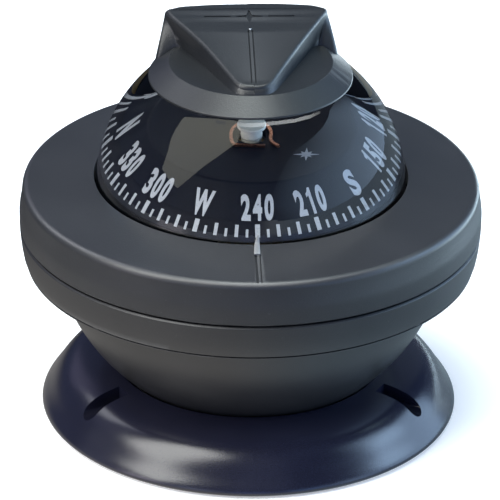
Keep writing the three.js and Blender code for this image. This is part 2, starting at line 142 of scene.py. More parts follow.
def plastic(name, tone, tone2, rough, grain=0.16, bump=0.010, rough_var=0.08, spec=0.5,
            speckle=0.0, edge=(0.09, 0.092, 0.095), edge_wear_highlight=0.5):
    """Moulded plastic: broad tone variation, grain and bump in mm, lighter edges (partly wear,
    partly painted highlight) and stray lint.
    """
    material, g = new_material(name)
    space = g.object_space()
    broad = g.noise(space, scale=90.0, detail=4.0, roughness=0.6)
    fine = g.noise(space, scale=1000.0 / grain, detail=2.0, roughness=0.7)
    cells = g.add("TexVoronoi", {"Vector": space, "Scale": 1000.0 / (grain * 1.7)})
    color = g.mix(g.ramp(broad, [(0.3, 0.0), (0.7, 1.0)]), tone, tone2)
    # grain darkens the pits
    pits = g.ramp(fine, [(0.32, 0.80), (0.68, 1.16)])
    color = g.mix(1.0, color, pits, blend_type="MULTIPLY")
    # edges lighter: partly wear, partly painted highlight along the edges
    wear_and_highlight = g.ramp(g.add("NewGeometry").outputs["Pointiness"], [(0.515, 0.0), (0.60, 1.0)])
    color = g.mix(g.times(wear_and_highlight, edge_wear_highlight), color, edge)
    if speckle:
        lint = g.ramp(g.noise(space, scale=2600.0, detail=0.0), [(0.80, 0.0), (0.83, 1.0)])
        color = g.mix(g.times(lint, speckle), color, (0.30, 0.30, 0.29))
    relief = g.plus(fine, g.times(cells, 0.6))
    g.surface(g.add("BsdfPrincipled", {
        "Base Color": color, "Specular IOR Level": spec,
        "Roughness": g.spread(fine, rough - rough_var, rough + rough_var),
        "Normal": g.bump(relief, strength=1.0, depth=bump)}))
    return material


def metal(name, tone, tone2, rough=0.3, brushed=True, tarnish=None):
    """Turned or drawn metal: fine scratches, tone variation and some tarnish."""
    material, g = new_material(name)
    space = g.object_space()
    stretch = (1.0, 1.0, 14.0) if brushed else (1, 1, 1)
    stretched = g.add("Mapping", {"Vector": space, "Scale": stretch})
    scratches = g.noise(stretched, scale=900.0, detail=6.0, roughness=0.75)
    broad = g.noise(space, scale=160.0, detail=5.0, roughness=0.6)
    stops = [(0.25, tarnish), (0.5, tone), (0.75, tone2)] if tarnish else [(0.3, tone), (0.7, tone2)]
    g.surface(g.add("BsdfPrincipled", {
        "Metallic": 1.0, "Base Color": g.ramp(broad, stops),
        "Roughness": g.spread(scratches, rough - 0.1, rough + 0.15),
        "Normal": g.bump(scratches, strength=0.5, depth=0.006)}))
    return material


def printed(name, tone):
    """Screen-printed ink: slightly uneven, with tiny pinholes."""
    material, g = new_material(name)
    pinholes = g.noise(g.object_space(), scale=2600.0, detail=3.0, roughness=0.7)
    g.surface(g.add("BsdfPrincipled", {
        "Roughness": 0.5,
        "Base Color": g.ramp(pinholes, [(0.25, tuple(c * 0.72 for c in tone)), (0.5, tone)]),
        "Normal": g.bump(pinholes, strength=0.5, depth=0.004)}))
    return material


def clear_dome(name, ior=1.42):
    """Polished clear moulding against liquid. Light reaches the card through it unbent,
    so the card is lit evenly."""
    material, g = new_material(name)
    haze = g.noise(g.object_space(), scale=60.0, detail=3.0)
    tint = g.ramp(haze, [(0.3, (0.955, 0.968, 0.985)), (0.7, (0.985, 0.99, 1.0))])
    inner = g.add("BsdfRefraction", {"Color": tint, "Roughness": 0.0, "IOR": ior})
    outer = g.add("BsdfGlossy", {"Roughness": 0.0})
    # about 4 x the reflection face on, of lights 4 x dimmer: less noise
    more = g.math("ADD", g.add("Fresnel", {"IOR": ior}), 0.093, clamped=True)
    seen = g.mix_shader(more, inner, outer)
    unbent = g.add("BsdfTransparent", {0: (0.93, 0.94, 0.95)})
    ray = g.add("LightPath").outputs
    lighting = g.math("MAXIMUM", ray["Is Shadow Ray"], ray["Is Diffuse Ray"])
    g.surface(g.mix_shader(lighting, seen, unbent))
    return material


def wetted(name):
    """Inner face of the dome: liquid and acrylic have almost one index, so it can't be seen."""
    material, g = new_material(name)
    g.surface(g.add("BsdfTransparent", {0: (0.985, 0.99, 1.0)}))
    return material


MAT = {
    # a tone that no piece wears at present
    "housing": plastic("housing_charcoal", (0.0125, 0.0135, 0.0160), (0.0170, 0.0182, 0.0210),
                       rough=0.37, grain=0.17, bump=0.016, speckle=0.05),
    # bezel: a darker copy of the same charcoal, painted shade
    "bezel": plastic("bezel_charcoal_painted_shade", (0.0092, 0.0100, 0.0119), (0.0125, 0.0134, 0.0156),
                     rough=0.37, grain=0.17, bump=0.016, speckle=0.05),
    # collar and bowl: a lighter copy of the same charcoal, painted light
    "collar": plastic("collar_charcoal_painted_light", (0.0145, 0.0150, 0.0170), (0.0200, 0.0205, 0.0225),
                      rough=0.38, grain=0.17, bump=0.012, speckle=0.05),
    "hood": plastic("hood_charcoal", (0.0120, 0.0135, 0.0155), (0.0165, 0.0182, 0.0205),
                    rough=0.40, grain=0.22, bump=0.020, spec=0.44, speckle=0.05),
    "base": plastic("base_black", (0.0095, 0.0100, 0.0205), (0.0120, 0.0125, 0.0250),
                    rough=0.22, grain=0.17, bump=0.0080, rough_var=0.05, edge_wear_highlight=0.0, spec=0.55),
    "capsule": plastic("capsule_black", (0.004, 0.0045, 0.006), (0.006, 0.0065, 0.008),
                       rough=0.5, bump=0.006, edge_wear_highlight=0.1, spec=0.1),
    "card": plastic("card_black", (0.0040, 0.0050, 0.0090), (0.0052, 0.0064, 0.0115),
                    rough=0.5, grain=0.22, bump=0.002, rough_var=0.04, edge_wear_highlight=0.0, spec=0.06),
    "rubber": plastic("seal_rubber", (0.012, 0.012, 0.012), (0.018, 0.018, 0.018),
                      rough=0.8, grain=0.3, bump=0.02),
    "pointer": plastic("pointer_grey", (0.13, 0.133, 0.140), (0.19, 0.193, 0.20),
                       rough=0.45, grain=0.15, bump=0.03, edge=(0.30, 0.30, 0.30)),
    "ivory": plastic("ivory_plastic", (0.60, 0.58, 0.47), (0.74, 0.72, 0.60),
                     rough=0.42, bump=0.004, edge=(0.8, 0.78, 0.7)),
    "nylon": plastic("natural_nylon", (0.50, 0.47, 0.38), (0.60, 0.57, 0.47),
                     rough=0.5, bump=0.006, edge=(0.7, 0.68, 0.6)),
    "ink": printed("white_ink", (0.36, 0.373, 0.39)),
    "brass": metal("turned_brass", (0.56, 0.40, 0.17), (0.68, 0.52, 0.26),
                   tarnish=(0.36, 0.24, 0.10)),
    "steel": metal("stainless", (0.42, 0.42, 0.43), (0.60, 0.60, 0.60)),
    "copper": metal("copper_strip", (0.34, 0.15, 0.09), (0.52, 0.27, 0.17), rough=0.25,
                    tarnish=(0.22, 0.08, 0.05)),
    "magnet": metal("magnet_alloy", (0.16, 0.16, 0.17), (0.24, 0.24, 0.25), rough=0.45,
                    brushed=False),
    "dome": clear_dome("dome_clear"),
    "wet": wetted("dome_wetted_face"),
}


# ------------------------------------------------------------------- geometry
def mesh_from(bm, name):
    mesh = bpy.data.meshes.new(name)
    bm.to_mesh(mesh)
    bm.free()
    return mesh


def add_object(name, mesh, materials):
    o = bpy.data.objects.new(name, mesh)
    bpy.context.scene.collection.objects.link(o)
    for material in materials if isinstance(materials, list) else [materials]:
        mesh.materials.append(material)
    return o


def smooth(o, angle):
    mesh = o.data
    mesh.polygons.foreach_set("use_smooth", [True] * len(mesh.polygons))
    mesh.set_sharp_from_angle(angle=rad(angle))
    mesh.update()


def solid(name, bm, materials, angle=32.0):
    """Object from a bmesh, shaded smooth but for edges sharper than angle."""
    bmesh.ops.remove_doubles(bm, verts=bm.verts, dist=1e-7)
    bmesh.ops.recalc_face_normals(bm, faces=bm.faces)
    o = add_object(name, mesh_from(bm, name), materials)
    smooth(o, angle)
    return o


def rounded(corners, fillet, steps):
    """Fillets closed (r, z[, fillet]) corners. Corners on the axis stay sharp."""
    out = []
    for i, corner in enumerate(corners):
        radius = corner[2] if len(corner) > 2 else fillet
        point = Vector(corner[:2])
        back = Vector(corners[i - 1][:2]) - point
        ahead = Vector(corners[(i + 1) % len(corners)][:2]) - point
        to_back, to_ahead = back.normalized(), ahead.normalized()
        angle = math.acos(max(-1, min(1, to_back.dot(to_ahead))))
        short = min(back.length, ahead.length) < 1e-6
        if radius <= 0 or corner[0] < 1e-6 or short or angle > rad(172):
            out.append(corner[:2])
            continue
        reach = min(radius / math.tan(angle / 2), 0.42 * back.length, 0.42 * ahead.length)
        start, end = point + to_back * reach, point + to_ahead * reach
        for k in range(steps + 1):
            s = k / steps
            q = start * (1 - s) ** 2 + point * 2 * s * (1 - s) + end * s ** 2
            out.append((max(q.x, 0.0), q.y))
    return out


def turned(name, corners, materials, seg=160, r=0.15, n=4, angle=32.0):
    """Solid of revolution about Z from a closed (r, z[, fillet]) outline in mm.
    r is the fillet where a corner gives none, n its steps."""
    bm = bmesh.new()
    rings = []
    for radius, z in rounded(corners, r, n):
        turns = [2 * math.pi * k / seg for k in range(seg)]
        if radius < 1e-6:
            rings.append([bm.verts.new((0, 0, z * MM))])
        else:
            rings.append([bm.verts.new((radius * MM * math.sin(t), -radius * MM * math.cos(t),
                                        z * MM)) for t in turns])
    for i, a in enumerate(rings):
        b = rings[(i + 1) % len(rings)]
        if len(a) == 1 and len(b) == 1:
            continue
        for k in range(seg):
            j = (k + 1) % seg
            if len(a) == 1:
                bm.faces.new((a[0], b[k], b[j]))
            elif len(b) == 1:
                bm.faces.new((a[k], b[0], a[j]))
            else:
                bm.faces.new((a[k], b[k], b[j], a[j]))
    return solid(name, bm, materials, angle)


def arc(radius, z, start, step, count, r=0):
    """Unfilleted outline points on a circle centred at (r, z)."""
    angles = [rad(start + i * step) for i in range(count)]
    return [(r + radius * math.cos(a), z + radius * math.sin(a), 0) for a in angles]


def thread(radius, depth, z, half_pitch, count):
    """Outline of a screw thread: crests and roots by turns."""
    return [(radius - (depth if k % 2 else 0), z + k * half_pitch, 0) for k in range(count)]


def spline(points, steps):
    """Catmull-Rom curve through points, without the last one."""
    out = []
    points = [Vector(p) for p in points]
    for i in range(len(points) - 1):
        p0, p1, p2 = points[max(0, i - 1)], points[i], points[i + 1]
        p3 = points[min(len(points) - 1, i + 2)]
        for k in range(steps):
            t = k / steps
            out.append(0.5 * ((2 * p1) + (p2 - p0) * t + (2 * p0 - 5 * p1 + 4 * p2 - p3) * t * t
                              + (3 * p1 - p0 - 3 * p2 + p3) * t ** 3))
    return out


def bridge(bm, a, b):
    """Faces between two closed rings of vertices."""
    for i in range(len(a)):
        j = (i + 1) % len(a)
        bm.faces.new((a[i], a[j], b[j], b[i]))


def close_prism(bm, low, high):
    bridge(bm, low, high)
    bm.faces.new(list(reversed(low)))
    bm.faces.new(high)


def prism(points, z0, z1, scale=MM):
    bm = bmesh.new()
    low = [bm.verts.new(Vector((x, y, z0)) * scale) for x, y in points]
    high = [bm.verts.new(Vector((x, y, z1)) * scale) for x, y in points]
    close_prism(bm, low, high)
    return bm


def box(x, y, z):
    bm = bmesh.new()
    bmesh.ops.create_cube(bm, size=1.0)
    for v in bm.verts:
        v.co = Vector([span[0 if c < 0 else 1] * MM for c, span in zip(v.co, (x, y, z))])
    return bm


def bevelled_box(x, y, z, offset, **bevel):
    bm = box(x, y, z)
    bmesh.ops.bevel(bm, geom=bm.edges[:], offset=offset * MM, affect="EDGES", **bevel)
    return bm


def rod(radius, start, end, seg=48):
    bm = bmesh.new()
    ends = Vector(start) * MM, Vector(end) * MM
    turn = (ends[1] - ends[0]).normalized().to_track_quat("Z", "Y")
    rings = []
    for centre in ends:
        rings.append([bm.verts.new(centre + turn @ Vector((
            radius * MM * math.cos(2 * math.pi * k / seg),
            radius * MM * math.sin(2 * math.pi * k / seg), 0))) for k in range(seg)])
    close_prism(bm, *rings)
    return bm


def offset_by(x, y, z):
    return Matrix.Translation(Vector((x, y, z)) * MM)


def move(bm, matrix):
    bmesh.ops.transform(bm, matrix=matrix, verts=bm.verts)
    return bm


def rotz(bm, angle):
    return move(bm, Matrix.Rotation(rad(angle), 4, "Z"))


def lay(bm, tilt, y, z):
    """Tilts about X (radians), then moves the origin to (0, y, z)."""
    move(bm, Matrix.Rotation(tilt, 4, "X"))
    return move(bm, offset_by(0, y, z))


def boolean(o, tools, op="DIFFERENCE", angle=32.0):
    """Cuts (or joins) bmesh tools into o, one after another."""
    for bm in tools:
        bmesh.ops.recalc_face_normals(bm, faces=bm.faces)
        mesh = mesh_from(bm, "tool")
        tool = bpy.data.objects.new("tool", mesh)
        bpy.context.scene.collection.objects.link(tool)
        mod = o.modifiers.new("b", "BOOLEAN")
        mod.operation = op
        mod.object = tool
        for solver in ("MANIFOLD", "EXACT"):  # EXACT is for when MANIFOLD gives nothing
            mod.solver = solver
            graph = bpy.context.evaluated_depsgraph_get()
            new = bpy.data.meshes.new_from_object(o.evaluated_get(graph))
            if len(new.polygons) > 3:
                break
            bpy.data.meshes.remove(new)
        o.modifiers.clear()
        old = o.data
        new.materials.clear()
        for material in old.materials:
            new.materials.append(material)
        o.data = new
        bpy.data.meshes.remove(old)
        bpy.data.objects.remove(tool)
        bpy.data.meshes.remove(mesh)
    bm = bmesh.new()
    bm.from_mesh(o.data)
    bmesh.ops.dissolve_limit(bm, angle_limit=rad(0.12), use_dissolve_boundaries=False,
                             verts=bm.verts[:], edges=bm.edges[:])
    bm.to_mesh(o.data)
    bm.free()
    smooth(o, angle)


def cross_slot(o, length, width, z):
    """Cuts a cross recess; length and width are half sizes."""
    long, wide = (-length, length), (-width, width)
    boolean(o, [box(long, wide, z), box(wide, long, z)])


def weighted(o):
    mod = o.modifiers.new("wn", "WEIGHTED_NORMAL")
    mod.keep_sharp = True
    mod.weight = 60


def place(o, body, cad):
    """Hands a piece to the frame: the body it rides and the CAD piece it replaces."""
    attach(o, body)
    if cad:
        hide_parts(cad)


# ----------------------------------------------------------------------- base
# (r, z) up the flared side, from the foot to the shoulder
FLARE = [(37.7, 0.12), (38.5, 0.55), (38.55, 1.15), (37.95, 2.1), (37.05, 3.3), (36.25, 4.6),
         (35.4, 5.8), (34.45, 6.9), (33.3, 7.8), (31.7, 8.55), (29.1, 9.15), (25.0, 9.55)]
NOTCH_Z = 7.25          # centre of the round-bottomed notches in the rim
NOTCH_Y = (-40, -27.2)  # their reach, outside to inside


def build_base():
    flare = [(37.1, 0.0, 0.1)] + [(q.x, q.y, 0) for q in spline(FLARE, 6)]
    for _ in range(24):  # ease the curve, ends held
        flare[2:-1] = [tuple((a + 2 * b + c) / 4 for a, b, c in zip(*flare[i - 1:i + 2]))
                       for i in range(2, len(flare) - 1)]
    flare.append((25.0, 9.6, 0.25))
    base = turned("base_flare", [
        (2.3, 2.0), (22.5, 2.0), (24.0, 0.0), (32.8, 0.0), (32.8, 1.1), (36.8, 1.1), (36.8, 0.0)]
        + flare + [(24.6, 8.6), (23.4, 6.88), (20.3, 4.72), (17.9, 3.4), (2.3, 3.4)],
        MAT["base"], seg=256, r=0.12, n=6, angle=35)
    cuts = []
    for a in (60, -60, 180):
        cuts.append(rotz(rod(1.75, (0, NOTCH_Y[1], NOTCH_Z), (0, NOTCH_Y[0], NOTCH_Z), 64), a))
        cuts.append(rotz(box((-1.75, 1.75), NOTCH_Y, (NOTCH_Z, 12)), a))
        cuts.append(rotz(rod(1.7, (0, -29, -1), (0, -29, 8), 48), a))
    boolean(base, cuts, angle=35)
    weighted(base)
    place(base, "base", "base")


build_base()

place(turned("base_seal", [
    (33.0, 0.0), (36.7, 0.0), (36.7, 1.0), (35.6, 1.0), (35.3, 0.8), (34.4, 0.8), (34.1, 1.0),
    (33.0, 1.0)], MAT["rubber"], seg=192, r=0.2), "base", "base_gasket")


def under(sphere, r):
    """(r, z) on the underside of a sphere about the bowl's centre."""
    return r, BOWL_Z - math.sqrt(sphere * sphere - r * r)


SEAT_R = (20.6, 21.2, 21.8, 22.4, 23.0)
place(turned("seat_ring",
             [under(38.05, r) for r in SEAT_R] + [under(37.3, r) for r in reversed(SEAT_R)],
             MAT["rubber"], r=0.18), "base", "friction_ring")
place(turned("bearing_disc", [(3.0, 3.45), (15.5, 3.45), (15.5, 4.05), (3.0, 4.05)],
             MAT["nylon"], seg=128, r=0.12), "base", "friction_disc")

# ----------------------------------------------------------------------- bowl
outside = arc(37.0, BOWL_Z, start=-63.1, step=57.6 / 40, count=41)
outside[0] = (*outside[0][:2], 0.3)
place(turned("bowl_shell", [
    (2.7, 4.2), *outside,
    (36.85, 33.5), (37.6, 33.5), (37.6, 38.3), (34.4, 38.3), (34.4, 33.4),
    *arc(34.6, BOWL_Z, start=-7.5, step=-52.3 / 24, count=25),
    (16.8, 7.2, 1.0), (7.0, 7.2, 1.0), (6.8, 12.0), (2.7, 12.0)],
    MAT["collar"], seg=224, r=0.25), "bowl", "bowl")

place(turned("brass_insert", [
    (1.65, 4.3), (2.45, 4.3), (2.6, 4.5), (2.6, 6.6), (2.35, 6.8), (2.35, 7.4), (2.6, 7.6),
    (2.6, 11.4), (2.45, 11.6), (1.65, 11.6)],
    MAT["brass"], seg=96, r=0.06), "bowl", "threaded_insert")

bolt = turned("swivel_bolt", [
    (0, 0.35), (3.6, 0.35, 0.3), (4.4, 0.9, 0.3), (4.4, 1.45, 0.1), (1.5, 1.45, 0.1),
    *thread(1.5, depth=0.18, z=1.9, half_pitch=0.25, count=34), (1.1, 10.5), (0, 10.5)],
    MAT["steel"], seg=64, r=0.1)
cross_slot(bolt, length=2.4, width=0.45, z=(0, 0.95))
place(bolt, "bowl", "swivel_screw")

place(turned("spring_cup", [
    (1.7, 1.5), (4.0, 1.5), (4.0, 1.75), (2.2, 1.93), (1.7, 1.93)],
    MAT["steel"], seg=96, r=0.06), "bowl", "spring_washer")


# ------------------------------------------------------------ collar and bezel
def screw_holes(radius, z0, z1, seg=32):
    """One tool for each case screw."""
    return [rotz(rod(radius, (0, -SCREW_CIRCLE, z0), (0, -SCREW_CIRCLE, z1), seg), a)
            for a in SCREW_ANGLES]


collar = turned("collar_ring", [
    (37.0, 30.07, 0.15), (41.25, 30.07, 0.12), (41.34, 30.32, 0.05), (40.8, 30.36, 0.03),
    (40.8, 30.54, 0.03), (41.42, 30.6, 0.05), (41.8, 31.8, 0), (42.1, 33.5, 0), (42.3, 35.2, 0),
    (42.42, 36.62, 0.14), (42.1, 36.9, 0.12), (37.75, 36.9), (37.75, 33.3), (37.0, 33.3)],
    MAT["collar"], seg=256, r=0.12, n=5)
shanks, heads = screw_holes(1.05, 29, 39), screw_holes(1.7, 29, 32.0, seg=40)
boolean(collar, [tool for pair in zip(shanks, heads) for tool in pair])
weighted(collar)
place(collar, "bowl", "collar")

BEZEL_SLOPE = 0.108  # radians, of the bezel's top face
# Grooves in the bezel's top at the front: x span, y span, depth, then the y and z of the
# point on the face that the depth is measured from
GROOVES = [((-0.84, 0.36), (-32.3, -28), 0.34, -31, 46.50),
           ((-0.80, -0.33), (-41.2, -32.2), 0.32, -37, 45.86),
           ((0.08, 0.33), (-41.2, -32.2), 0.26, -37, 45.86)]
bezel = turned("bezel_ring", [
    (28.78, 46.78, 0.22), (34.5, 46.12, 0), (41.85, 45.4, 2.1), (42.12, 42.4, 0.8),
    (42.36, 41.2, 0.8), (42.48, 39.9, 0), (42.47, 37.55, 0.12), (42.2, 37.25, 0.12),
    (37.8, 37.25), (37.8, 40.6), (33.5, 40.6), (33.5, 43.8), (28.78, 43.8)],
    MAT["bezel"], seg=256, r=0.12, n=8)
cuts = [lay(box(x, (y[0] - face_y, y[1] - face_y), (-depth, 3)), BEZEL_SLOPE, face_y, face_z)
        for x, y, depth, face_y, face_z in GROOVES]
boolean(bezel, cuts + screw_holes(0.8, 36, 43))
weighted(bezel)
place(bezel, "bowl", "bezel")

for i, a in enumerate(SCREW_ANGLES, 1):
    screw = turned("case_screw_%d" % i, [
        (0, 30.35), (1.2, 30.35, 0.15), (1.55, 30.75, 0.15), (1.55, 31.9), (0.75, 31.9),
        *thread(0.78, depth=0.16, z=32.3, half_pitch=0.22, count=42), (0.4, 41.8), (0, 42.4)],
        MAT["steel"], seg=40, r=0.06)
    cross_slot(screw, length=0.75, width=0.2, z=(30, 30.9))
    screw.data.transform(Matrix.Rotation(rad(a), 4, "Z") @ offset_by(0, -SCREW_CIRCLE, 0))
    place(screw, "bowl", "bezel_screw_%d" % i)

# ------------------------------------------------------------- lubber pointer
# Stations of the blade, front to back: y, z, half width, centre x
BLADE = [(-32.2, 46.44, 0.56, -0.27), (-31.6, 46.60, 0.56, -0.26), (-30.6, 46.82, 0.53, -0.24),
         (-29.7, 47.02, 0.47, -0.20), (-29.2, 47.25, 0.42, -0.16), (-28.95, 47.65, 0.34, -0.10),
         (-28.78, 48.1, 0.27, -0.06), (-28.68, 48.5, 0.19, -0.03)]


def build_pointer():
    bm = bmesh.new()
    rows = []
    last = len(BLADE) - 1
    for i, (y, z, width, x) in enumerate(BLADE):
        before, after = BLADE[max(0, i - 1)], BLADE[min(last, i + 1)]
        run = Vector((after[0] - before[0], after[1] - before[1])).normalized()
        normal = Vector((-run.y, run.x))
        thick = 0.34 if i < last else 0.2
        ridge = 0.16 if 0 < i < last else 0.04
        # section: across in half widths, height in thicknesses
        section = ((-1, -0.5), (-1, 0.28), (-0.72, 0.5), (0.0, 0.5 + ridge), (0.72, 0.5),
                   (1, 0.28), (1, -0.5))
        row = []
        for across, height in section:
            off = normal * (height * thick)
            row.append(bm.verts.new(Vector((x + across * width, y + off.x, z + off.y)) * MM))
        rows.append(row)
    for a, b in zip(rows, rows[1:]):
        bridge(bm, a, b)
    bm.faces.new(rows[0])
    bm.faces.new(list(reversed(rows[-1])))
    place(solid("pointer_blade", bm, MAT["pointer"], 30),
          "bowl", "lubber_pointer")


build_pointer()


# ----------------------------------------------------------------------- dome
def build_dome():
    """Dome and its flange; the inner face and the hidden flange have their own materials."""
    out_top = math.degrees(math.asin((DOME_TOP - DOME_Z) / DOME_R))
    in_top = math.degrees(math.asin((DOME_IN_TOP - DOME_Z) / DOME_IN_R))
    dome = turned("dome_cover", [
        (0, DOME_TOP), *arc(DOME_R, DOME_Z, start=out_top, step=-out_top / 48, count=49),
        (DOME_R, 43.6, 0.2), (33.2, 43.6), (33.2, 41.3), (DOME_IN_R, 41.3),
        *arc(DOME_IN_R, DOME_Z, start=0, step=in_top / 40, count=41), (0, DOME_IN_TOP)],
        [MAT["dome"], MAT["wet"], MAT["capsule"]], seg=224, r=0.1, n=3, angle=40)
    for face in dome.data.polygons:
        c = face.center / MM
        from_centre = math.hypot(math.hypot(c.x, c.y), c.z - DOME_Z)
        if c.z < 43.62:
            face.material_index = 2
        elif from_centre < 27.2 and c.z < 66.5:
            face.material_index = 1
    dome.data.update()
    place(dome, "bowl", "dome")
    return dome


dome = build_dome()
place(turned("dome_seal", arc(0.72, 40.43, start=0, step=15, count=24, r=30.5), MAT["rubber"]),
      "bowl", "dome_oring")

# ----------------------------------------------------------------------- hood
# Half outlines (x, y) of the raised wedge seen from above, front to back
TOP_HALF = [(0, -14.25), (2.0, -14.15), (3.3, -13.1), (14.0, 9.1), (14.6, 10.5), (11.8, 12.0),
            (6.0, 12.6), (0, 12.75)]
FOOT_HALF = [(0, -14.85), (2.4, -14.75), (3.9, -13.3), (11.9, 6.7), (16.5, 5.4), (16.2, 9.4),
             (10.6, 15.0), (0, 18.2)]
TIP_Y, TIP_Z = -14.0, 71.0      # front end of the wedge's crowned face
CROWN_RISE, CROWN_BEND = 0.25, 0.0027
LINE_TILT = math.atan(0.201)    # chord of the crown along the sighting line
STAR_AT = 21.3                  # star's distance behind the tip
HOOD_X = -0.3


def eased(loop, sigma):
    """Gaussian smoothing along the loop, by length and not by point."""
    count = len(loop)
    steps = [(loop[(i + 1) % count] - loop[i]).length for i in range(count)]
    along_loop = [0.0]
    for step in steps:
        along_loop.append(along_loop[-1] + step)
    whole = along_loop[-1]
    out = []
    for i in range(count):
        total, weights = Vector((0, 0)), 0.0
        for j in range(count):
            gap = abs(along_loop[i] - along_loop[j])
            gap = min(gap, whole - gap)
            if gap < 3 * sigma:
                weight = math.exp(-0.5 * (gap / sigma) ** 2) * 0.5 * (steps[j] + steps[j - 1])
                total += loop[j] * weight
                weights += weight
        out.append(total / weights)
    return out


def plan(half, widen_left, widen_right, sigma, per=28):
    """Half outline mirrored to a dense closed loop, corners eased, widened to the back."""
    full = list(half) + [(-x, y) for x, y in reversed(half[1:-1])]
    points = []
    for i, p in enumerate(full):
        q = full[(i + 1) % len(full)]
        for k in range(per):
            t = k / per
            points.append(Vector((p[0] * (1 - t) + q[0] * t, p[1] * (1 - t) + q[1] * t)))
    for _ in range(10):
        points = [(points[i - 1] + points[i] * 2 + points[(i + 1) % len(points)]) / 4
                  for i in range(len(points))]
    for p in points:
        p.x *= 1 + (widen_left if p.x < 0 else widen_right) * clamp((p.y + 2.0) / 9.0)
    return eased(points, sigma)


def top_z(y):
    """Height of the crowned face."""
    u = y - TIP_Y
    return TIP_Z + CROWN_RISE * u - CROWN_BEND * u * u


def band_z(r):
    """Height of the round cap under the wedge's foot."""
    return 69.32 if r < 15.0 else 69.32 - (r - 15.0) * 0.76


def edge_radius(p):
    """Small along the V, larger round the back corners, a little less at the tip."""
    tip = clamp((-11.5 - p.y) / 2.0)
    tail = clamp((p.y - 8.0) / 3.0)
    return (0.55 if p.x > 0 else 0.75) - 0.05 * tip + 0.85 * tail


def wedge(wall_steps=14, edge_steps=7):
    """The raised V-shaped part of the hood, lofted from foot to crowned face."""
    top = plan(TOP_HALF, widen_left=0.080, widen_right=0.015, sigma=0.75)
    foot = plan(FOOT_HALF, widen_left=0.05, widen_right=0.0, sigma=0.8)
    count = len(top)
    normals = []
    for i in range(count):
        run = top[(i + 1) % count] - top[i - 1]
        normals.append(Vector((run.y, -run.x)).normalized())
    levels = [[Vector((*(p * 0.72), 68.75)) for p in foot],
              [Vector((*p, band_z(p.length) - 0.25)) for p in foot]]
    for k in range(1, wall_steps + 1):
        t = k / wall_steps
        row = []
        for low, high in zip(foot, top):
            z0 = band_z(low.length)
            z1 = top_z(high.y) - edge_radius(high)
            p = low.lerp(high, t - 0.45 * t * (1 - t) * (1 if low.length > 14.2 else 0))
            row.append(Vector((p.x, p.y, z0 + (z1 - z0) * t)))
        levels.append(row)
    for k in range(1, edge_steps + 1):
        a = rad(90 * k / edge_steps)
        row = []
        for high, normal in zip(top, normals):
            radius = edge_radius(high)
            p = high - normal * (radius * (1 - math.cos(a)))
            row.append(Vector((p.x, p.y, top_z(p.y) - radius * (1 - math.sin(a)))))
        levels.append(row)
    bm = bmesh.new()
    loops = [[bm.verts.new(v * MM) for v in row] for row in levels]
    for a, b in zip(loops, loops[1:]):
        bridge(bm, a, b)
    bm.faces.new(list(reversed(loops[0])))
    rim = loops[-1]
    for i in range(count // 2):  # strips from side to side close the face
        quad = []
        for v in (rim[i], rim[i + 1], rim[(count - i - 1) % count], rim[(count - i) % count]):
            if v not in quad:
                quad.append(v)
        bm.faces.new(quad)
    return bm


def rectangle(x0, x1, y0, y1):
    return [(x0, y0), (x1, y0), (x1, y1), (x0, y1)]


def on_crown(bm, u):
    """Onto the crowned face's tangent plane, u behind the tip."""
    return lay(bm, math.atan(CROWN_RISE - 2 * CROWN_BEND * u), u + TIP_Y, top_z(u + TIP_Y))


def build_hood():
    hood = turned("hood_cap", [
        (0, 68.5), (13.3, 68.5, 0.1), (13.3, 68.1, 0.1), (16.5, 68.1, 0.2), (18.42, 66.42, 0.12),
        (18.62, 66.5, 0.12), (18.58, 66.8, 0.25), (14.9, 69.5, 0.45), (0, 69.5)],
        MAT["hood"], seg=256, r=0.1, n=8)
    boolean(hood, [wedge()], "UNION", angle=30)
    # the two edges of the sighting line
    line_end = 16.6 * (1 / math.cos(LINE_TILT))
    cuts = [lay(prism(rectangle(x0, x1, 1.0, line_end), -0.20, 2), LINE_TILT, TIP_Y, TIP_Z + 0.05)
            for x0, x1 in ((-0.50, -0.24), (0.24, 0.50))]
    # a four-point star with a bar to each side
    star = []
    for k in range(8):
        radius = 2.3 if k % 2 == 0 else 0.62
        a = rad(90 * k / 2)
        star.append((radius * 1.15 * math.sin(a), radius * math.cos(a)))
    cuts.append(on_crown(prism(star, -0.22, 2), STAR_AT))
    for x0, x1 in ((-8.2, -3.4), (3.4, 8.2)):
        cuts.append(on_crown(prism(rectangle(x0, x1, -0.18, 0.18), -0.16, 2), STAR_AT))
    boolean(hood, cuts, angle=30)
    hood.data.transform(offset_by(HOOD_X, 0, 0))
    weighted(hood)
    place(hood, "bowl", "hood")


build_hood()
DOT_Y = 2.95
dot = turned("sight_dot", [(0, -0.1), (0.34, -0.1), (0.34, 0.06), (0.2, 0.12), (0, 0.12)],
             MAT["ink"], seg=3, r=0.0)
dot.data.transform(offset_by(HOOD_X, DOT_Y, top_z(DOT_Y)) @ Matrix.Rotation(LINE_TILT, 4, "X"))
place(dot, "bowl", None)
place(turned("hood_bond", [(0, 67.95), (13.0, 67.95), (13.0, 68.4), (0, 68.4)],
             MAT["rubber"], seg=128, r=0.1), "bowl", "hood_pad")

# -------------------------------------------------------------------- capsule
cup = turned("capsule_lower", [
    (27.48, 40.4), (29.55, 40.4), (29.55, 39.6), (31.45, 39.6), (31.45, 40.4), (37.6, 40.4),
    (37.6, 38.45), (29.0, 38.45, 0.6),
    *arc(29.0, CAPSULE_Z, start=-8, step=-2.0, count=23),
    (math.sqrt(29.0 ** 2 - 23.5 ** 2), 17.5, 0.8), (7.0, 17.5), (7.0, 19.0),
    (math.sqrt(27.5 ** 2 - 22.0 ** 2) - 0.6, 19.0, 0.5),
    *arc(27.5, CAPSULE_Z, start=-52, step=2.2, count=23)],
    MAT["capsule"], seg=192)
boolean(cup, [rod(1.6, (0, FILLER_Y, 16), (0, FILLER_Y, 21), 32)])
place(cup, "bowl", "capsule_cup")

